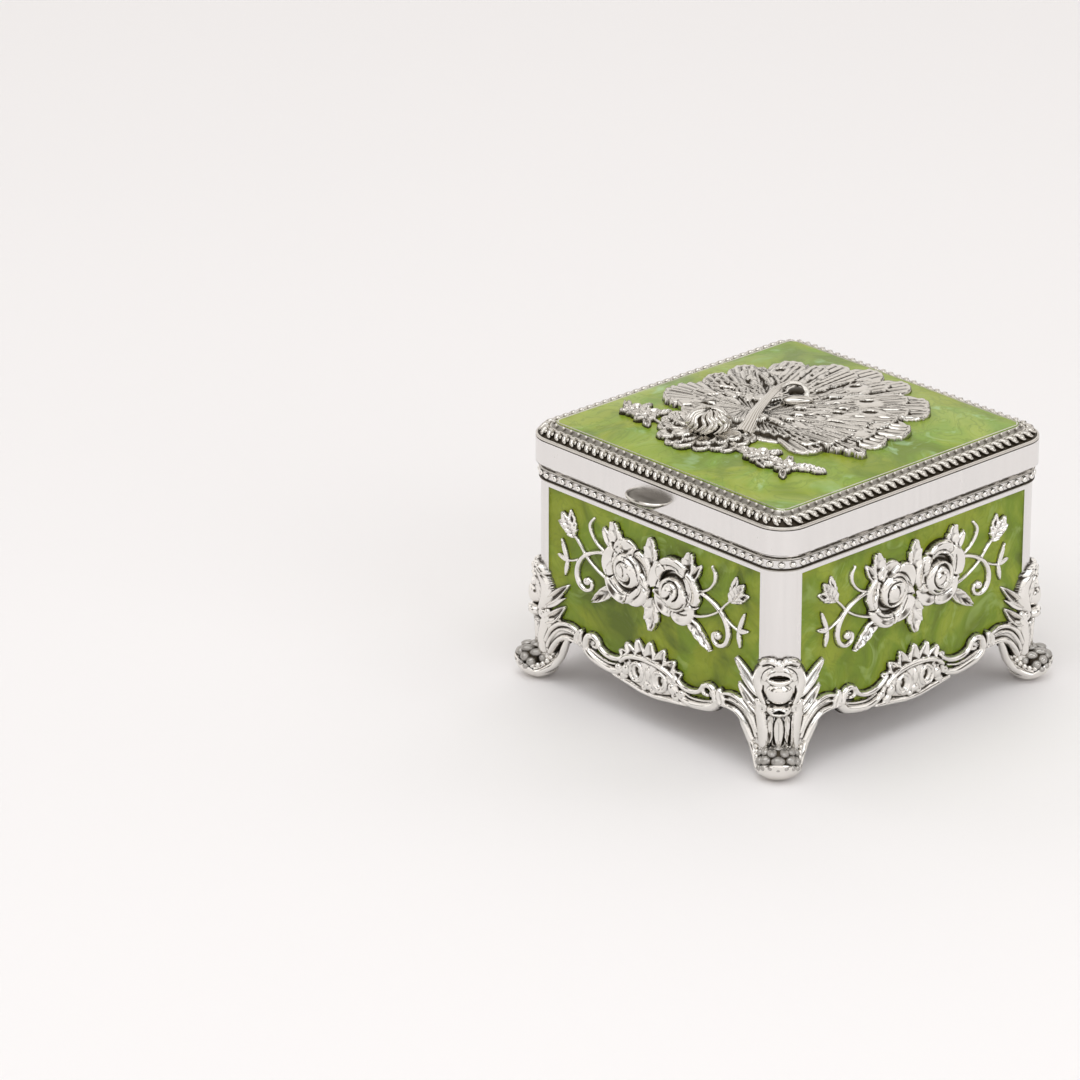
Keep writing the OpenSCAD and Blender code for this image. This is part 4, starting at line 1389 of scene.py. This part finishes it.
# s runs out along the corner's diagonal from the centre of its arc, t across it, z up
def onCorner(signX, signY):
    centre = (signX * (bodyHalfW - bodyR), signY * (bodyHalfD - bodyR))
    out = np.array((signX, signY)) / math.sqrt(2)
    across = np.array((-out[1], out[0]))

    def place(points):
        s, t, z = points.T
        x = centre[0] + s * out[0] + t * across[0]
        y = centre[1] + s * out[1] + t * across[1]
        return np.column_stack([x, y, z])
    return place


def postFace(t):
    straight = bodyR * math.sqrt(2) - np.abs(t)
    rounded = np.sqrt(np.clip(bodyR ** 2 - t ** 2, 0, None))
    return np.where(np.abs(t) < bodyR / math.sqrt(2), rounded, straight)


def along(table, values):
    table = np.array(table)
    return np.interp(values, table[:, 0], table[:, 1])


def makeLeg():
    relief = Relief((-7.6, 2.4), (7.6, 33.4), footSetup["step"])
    spot, t, z = relief.window((-7.6, 2.4), (7.6, 21.0))
    half = along(footSetup["legHalf"], z)
    x = np.abs(t) / half
    relief.put(spot, np.where(x < 1, 0.1 + 0.6 * np.clip(1 - x ** 4, 0, 1) ** 0.5, -(x - 1) * half * 4))

    def both(shape, points, *rest, **more):
        for sign in (1, -1):
            shape([(sign * a, b) for a, b in points], *rest, **more)

    def arc(radii, start, end, middle):
        angles = np.radians(np.linspace(start, end, 9))
        return [(radii[0] * math.cos(a), middle + radii[1] * math.sin(a)) for a in angles]
    # the hood and its nested rims
    relief.boss((0, 26.9), (6.4, 5.9), 1.9, 0.0, square=3.4)
    relief.stroke(arc((5.6, 5.3), -24, 204, 26.4), (1.6, 2.0, 1.7, 2.0, 1.6), 1.0, 1.0)
    relief.stroke(arc((3.9, 3.3), 0, 180, 27.4), (1.2, 1.5, 1.2), 0.8, 1.6)
    both(relief.stroke, ((5.5, 28.0), (5.8, 25.2), (5.0, 22.4), (3.9, 20.6)), (1.6, 2.1, 1.9, 1.2), 1.1, 1.0)
    relief.engrave(arc((4.75, 4.35), 20, 160, 27.0), (0.2, 0.35, 0.25, 0.35, 0.2), 0.4)
    # scroll crest on top of the hood
    both(relief.stroke, ((0.2, 31.0), (1.6, 32.3), (3.6, 32.1), (4.9, 31.0)), (1.0, 1.3, 1.2, 0.8), 0.9, 1.2)
    both(relief.engrave, ((1.0, 31.3), (2.6, 31.5), (4.4, 30.6)), (0.3, 0.6, 0.3), 0.9)
    relief.boss((0, 31.4), (1.3, 1.1), 1.1, 1.5)
    both(relief.stroke, ((1.3, 30.1), (2.4, 29.9), (3.3, 29.2)), (0.6, 0.8, 0.5), 0.6, 2.1)
    # lip and chin
    relief.stroke(arc((2.9, 1.25), 185, 355, 27.9), (1.0, 1.2, 1.3, 1.2, 1.0), 0.8, 1.9)
    relief.boss((0, 23.8), (3.5, 2.9), 1.9, 1.45, square=2.4)
    relief.engrave(((-2.5, 27.75), (-1.2, 28.0), (0, 28.05), (1.2, 28.0), (2.5, 27.75)),
                   (0.5, 1.3, 1.6, 1.3, 0.5), 2.4)
    both(relief.engrave, ((4.1, 25.4), (4.1, 23.8), (3.6, 22.2)), (0.3, 0.5, 0.35), 0.9)
    both(relief.engrave, ((3.4, 21.4), (2.2, 21.0), (0.7, 20.6)), (0.5, 1.0, 0.4), 1.6)
    both(relief.engrave, ((1.2, 30.0), (1.8, 29.7)), (0.5, 0.5), 0.9)
    # ring boss and side curls
    relief.boss((0, 18.9), (3.0, 1.6), 1.7, 2.0, square=2.4)
    relief.engrave(((-1.2, 18.9), (0, 19.1), (1.2, 18.9)), (0.8, 1.5, 0.8), 2.6)
    for sign in (1, -1):
        relief.boss((sign * 4.3, 19.0), (1.5, 1.4), 1.1, 0.8, dish=0.7)
        relief.boss((sign * 5.3, 16.6), (1.0, 1.2), 0.8, 0.7, dish=0.5)
    # acanthus: three flutes and the straps beside them
    for sign in (1, -1):
        relief.leaf((sign * 2.0, 17.2), -90 + sign * 5, 8.8, 2.9, 1.5, 0.6, veins=0, fold=0.55)
        relief.stroke(((sign * 4.9, 17.2), (sign * 5.0, 13.9), (sign * 4.6, 10.5), (sign * 4.0, 7.4)),
                      (1.7, 2.0, 1.8, 1.2), 0.9, 0.6, 0.25)
        relief.stroke(((sign * 3.6, 16.8), (sign * 3.8, 13.4), (sign * 3.4, 10.0), (sign * 2.9, 8.0)),
                      (0.9, 1.1, 1.0, 0.7), 0.8, 0.8)
        relief.engrave(((sign * 1.15, 17.0), (sign * 1.35, 13.0), (sign * 1.0, 9.0)), (0.3, 0.6, 0.8), 1.6)
        relief.engrave(((sign * 3.0, 16.8), (sign * 3.0, 13.0), (sign * 2.7, 8.6)), (0.3, 0.5, 0.9), 1.2)
    relief.leaf((0, 17.1), -90, 9.4, 2.7, 1.8, 0.8, veins=0, fold=0.35)
    sole = -0.9
    points, faces, marks = relief.solid(sole, 0.5, 0.8)
    t, z, h = points.T
    front = along(footSetup["legFront"], z) + (postFace(t) - bodyR) * np.interp(z, (3, 20), (0.45, 1.0)) + h
    low = along(footSetup["legBack"], z)
    back = np.where(z > 15.2, postFace(t) - 1.0, low)
    edge = h < sole + 0.01
    s = np.where(edge, back, front)
    # painted shade: below 17 mm the leg's side walls, under the arch, are marked 0.8 dark; above that, 0.1
    marks = np.where(edge, np.where(z < 17, 0.8, 0.1), marks)
    return np.column_stack([s, t, z]), faces, marks


# A ribbon along the sole, dished so that its edges stand up
def makeSole(casting):
    path = smoothPath(footSetup["sole"], 4)
    cross = np.linspace(-1, 1, 13)
    normal = np.gradient(path, axis=0)
    normal = np.column_stack([-normal[:, 1], normal[:, 0]])
    normal /= np.linalg.norm(normal, axis=1)[:, None]
    half = np.linspace(5.9, 5.2, len(path))
    points = []
    for thick in (0.0, 1.15):
        for p, n, w in zip(path, normal, half):
            for q in cross:
                lift = 1.6 * abs(q) ** 2.6
                drawnIn = 1 - 0.07 * thick * (abs(q) > 0.95)
                points.append((p[0] + n[0] * (thick + 0.25 * lift), w * q * drawnIn,
                               p[1] + n[1] * thick + lift))
    wide, rows = len(cross), len(path)
    layer = wide * rows
    faces = []
    for i in range(rows - 1):
        for j in range(wide - 1):
            a = i * wide + j
            faces.append([a, a + 1, a + wide + 1, a + wide])
            faces.append([layer + a, layer + a + wide, layer + a + wide + 1, layer + a + 1])
        for a, b in ((i * wide, (i + 1) * wide), ((i + 1) * wide + wide - 1, i * wide + wide - 1)):
            faces.append([a, b, b + layer, a + layer])
    for j in range(wide - 1):
        faces.append([j, j + 1, j + 1 + layer, j + layer])
        a = (rows - 1) * wide + j
        faces.append([a, a + layer, a + 1 + layer, a + 1])
    casting.add(points, faces, 0.0)


# The toe's scoop: its lip stands high in front and falls towards the leg
def makeDish(casting):
    profile = ((0.0, 0.0, 0), (0.20, 0.0, 0), (0.40, 0.35, 0), (0.60, 1.0, 0), (0.77, 1.9, 0),
               (0.89, 2.9, 0), (0.96, 3.9, 0), (1.0, 4.9, 0), (0.995, 5.7, 0), (0.96, 6.1, 0),
               (0.90, 5.85, 0.15), (0.85, 5.1, 0.8), (0.79, 3.9, 1), (0.6, 2.4, 1), (0.0, 2.0, 1))
    sides = 48
    points, marks, faces = [], [], []
    for r, z, mark in profile[1:-1]:
        for j in range(sides):
            a = 2 * math.pi * j / sides
            fall = max(1 - 0.52 * (1 - math.cos(a)), 0.42)
            points.append((8.6 + 6.0 * r * math.cos(a), 5.9 * r * math.sin(a), z * fall))
            marks.append(mark)
    rows = len(profile) - 2
    for i in range(rows - 1):
        for j in range(sides):
            a, b = i * sides + j, i * sides + (j + 1) % sides
            faces.append([a, b, b + sides, a + sides])
    points += [(8.6, 0, 0), (8.6, 0, 1.2)]
    marks += [0, 1]
    first, last = len(points) - 2, len(points) - 1
    tail = (rows - 1) * sides
    faces += [[first, (j + 1) % sides, j] for j in range(sides)]
    faces += [[last, tail + j, tail + (j + 1) % sides] for j in range(sides)]
    casting.add(points, faces, marks)


# The curled end that lies in the scoop: a dark core under uneven pebbles
def makeCurl(casting):
    s0, z0, r = footSetup["ball"]
    casting.add(*ovalShell((s0, 0, z0), (r, r * 1.15, r), 14, 22), 1.0)
    # s, t, z and the three radii; those off the middle are made on both sides
    pebbles = ((12.7, 0.0, 6.3, 1.5, 1.75, 1.35), (11.6, 3.1, 6.1, 1.3, 1.5, 1.25),
               (10.0, 4.6, 5.2, 1.25, 1.15, 1.2), (10.9, 1.55, 7.9, 1.8, 1.2, 0.9),
               (8.6, 3.2, 7.3, 1.7, 1.15, 1.0), (8.3, 0.0, 8.3, 2.0, 1.3, 0.85),
               (13.6, 1.8, 5.0, 0.75, 0.95, 0.75), (12.6, 3.7, 4.6, 0.8, 0.8, 0.75),
               (11.4, 4.9, 4.1, 0.8, 0.7, 0.75), (6.9, 4.5, 6.3, 1.0, 0.9, 0.95),
               (13.9, 0.0, 4.7, 0.7, 0.8, 0.65))
    for s, t, z, long, wide, high in pebbles:
        for side in ((1, -1) if t else (1,)):
            casting.add(*ovalShell((s, side * t, z), (long * 1.08, wide * 1.1, high * 1.05), 8, 12), 0.40)


# A rounded strap down each side of the leg's back into the scoop's rim
def makeStraps(casting):
    line = smoothPath(footSetup["strap"], 5)
    for side in (1, -1):
        casting.add(*tubeShell(line * (1, side, 1), (0.8, 1.15, 1.2, 1.15, 1.0, 0.7), 12, 1.0), 0.0)


legPoints, legFaces, legMarks = makeLeg()
cornerSigns = {"front_right": (1, -1), "back_right": (1, 1), "back_left": (-1, 1), "front_left": (-1, -1)}
for corner, signs in cornerSigns.items():
    place = onCorner(*signs)
    makePiece("footLeg_" + corner, place(legPoints), legFaces, brightSilver, "root", ["foot_" + corner],
              legMarks, 180, close=False)
    casting = Casting()
    makeSole(casting)
    makeStraps(casting)
    makeDish(casting)
    makeCurl(casting)
    casting.piece("footToe_" + corner, brightSilver, "root", ["foot_" + corner], 60, place)
    edges = []
    for sign in (1, -1):
        line = smoothPath([(s, sign * t, z) for s, t, z in footSetup["beadEdge"]], 5)
        edges.append(place(line))
    bead = itemOf((ovalShell((0, 0, 0), (0.78, 0.72, 0.74), 6, 9), 0.0))
    rowAlongPath("footBeads_" + corner, bead, edges, False, 9, brightSilver, "root", ["foot_" + corner])
print("feet made", len(legFaces))

# Thumb tab: half its width, and the height of its top
tabSetup = {"half": 7.0, "height": 65.0}


def makeTab():
    reach = midY - nodeBox("thumb_tab")[0][1] - lidHalfD
    half = tabSetup["half"]
    wall = lidHalfD - 0.4
    z = tabSetup["height"]
    # from the wall outwards over the top, round the lip and back underneath: share of the outline, height
    profile = ((0.05, -0.75, 0.45), (0.45, -0.95, 0.4), (0.75, -0.75, 0.4), (0.86, -0.25, 0.45),
               (0.91, 0.35, 0.2), (0.95, 0.45, 0), (1.0, 0.15, 0), (0.985, -0.30, 0), (0.94, -0.50, 1),
               (0.90, -0.62, 1), (0.80, -1.3, 0.1), (0.60, -2.2, 0), (0.34, -2.9, 0), (0.05, -3.2, 0))
    turns = 36
    points, marks, faces = [], [], []
    for share, dz, mark in profile:
        for j in range(turns + 1):
            a = math.pi * j / turns
            u = -half * math.cos(a) * (0.35 + 0.65 * share if share < 0.5 else share ** 0.6)
            out = (reach + 0.4) * math.sin(a) ** 0.85 * share
            points.append((u, -(wall + out), z + dz * (0.55 + 0.45 * math.sin(a))))
            marks.append(mark)
    rows = len(profile)
    wide = turns + 1
    for i in range(rows - 1):
        for j in range(turns):
            a = i * wide + j
            faces.append([a, a + 1, a + wide + 1, a + wide])
    faces.append(list(range(wide)) + [(rows - 1) * wide + j for j in range(wide - 1, -1, -1)])
    faces.append([i * wide for i in range(rows)])
    faces.append([i * wide + turns for i in range(rows - 1, -1, -1)])
    makePiece("thumbTab", points, faces, antiqueSilver, "lid", ["thumb_tab"], marks, 50)


makeTab()

# Velvet linings
liningSetup = {"steps": 36, "pinch": 0.012, "quilt": 0.12}


# A pad that fills a box, crowned over its broad faces and drawn in at its edges
def makePad(name, node, body):
    low, high = nodeBox(node)
    low[1] -= midY
    high[1] -= midY
    size = high - low
    thin = int(np.argmin(size))
    wide, tall = [k for k in range(3) if k != thin]
    steps, pinch = liningSetup["steps"], liningSetup["pinch"]
    line = -np.cos(np.linspace(0, math.pi, steps))
    points, faces = [], []
    for layer in (-1, 1):
        for a in line:
            for b in line:
                edge = (1 - abs(a) ** 8) * (1 - abs(b) ** 8)
                quilt = 1 - liningSetup["quilt"] * math.cos(3 * math.pi * a) * math.cos(3 * math.pi * b)
                spot = [0.0, 0.0, 0.0]
                spot[wide] = a * (1 - pinch * (1 - edge))
                spot[tall] = b * (1 - pinch * (1 - edge))
                spot[thin] = layer * (0.35 + 0.65 * edge ** 0.4 * quilt / (1 + liningSetup["quilt"]))
                points.append((low + high) / 2 + np.array(spot) * size / 2)
    count = steps * steps
    for i in range(steps - 1):
        for j in range(steps - 1):
            a = i * steps + j
            faces.append([a, a + 1, a + steps + 1, a + steps])
            faces.append([count + a, count + a + steps, count + a + steps + 1, count + a + 1])
    rim = [j for j in range(steps)] + [i * steps + steps - 1 for i in range(1, steps)]
    rim += [(steps - 1) * steps + j for j in range(steps - 2, -1, -1)]
    rim += [i * steps for i in range(steps - 2, 0, -1)]
    for k, a in enumerate(rim):
        b = rim[(k + 1) % len(rim)]
        faces.append([b, a, a + count, b + count])
    pad = makePiece(name, points, faces, velvet, body, [node], angle=60)


makePad("floorPad", "lining_floor", "root")
for side in sideTurns:
    makePad("wallPad_" + side, "lining_" + side, "root")
makePad("lidPad", "lining_lid", "lid")
print("linings made")

# Finishes of the nodes that keep their own shape
finishOf = {
    "satin_silver": satinSilver, "bright_silver": brightSilver, "antique_silver": antiqueSilver,
    "panel_enamel": panelEnamel, "lid_enamel": lidEnamel, "velvet": velvet, "steel": steel,
}
for part in frame["record"]["subparts"]:
    node = frame["nodes"][part["node"]]
    node.data.materials.clear()
    node.data.materials.append(finishOf[part["material_slot"]])
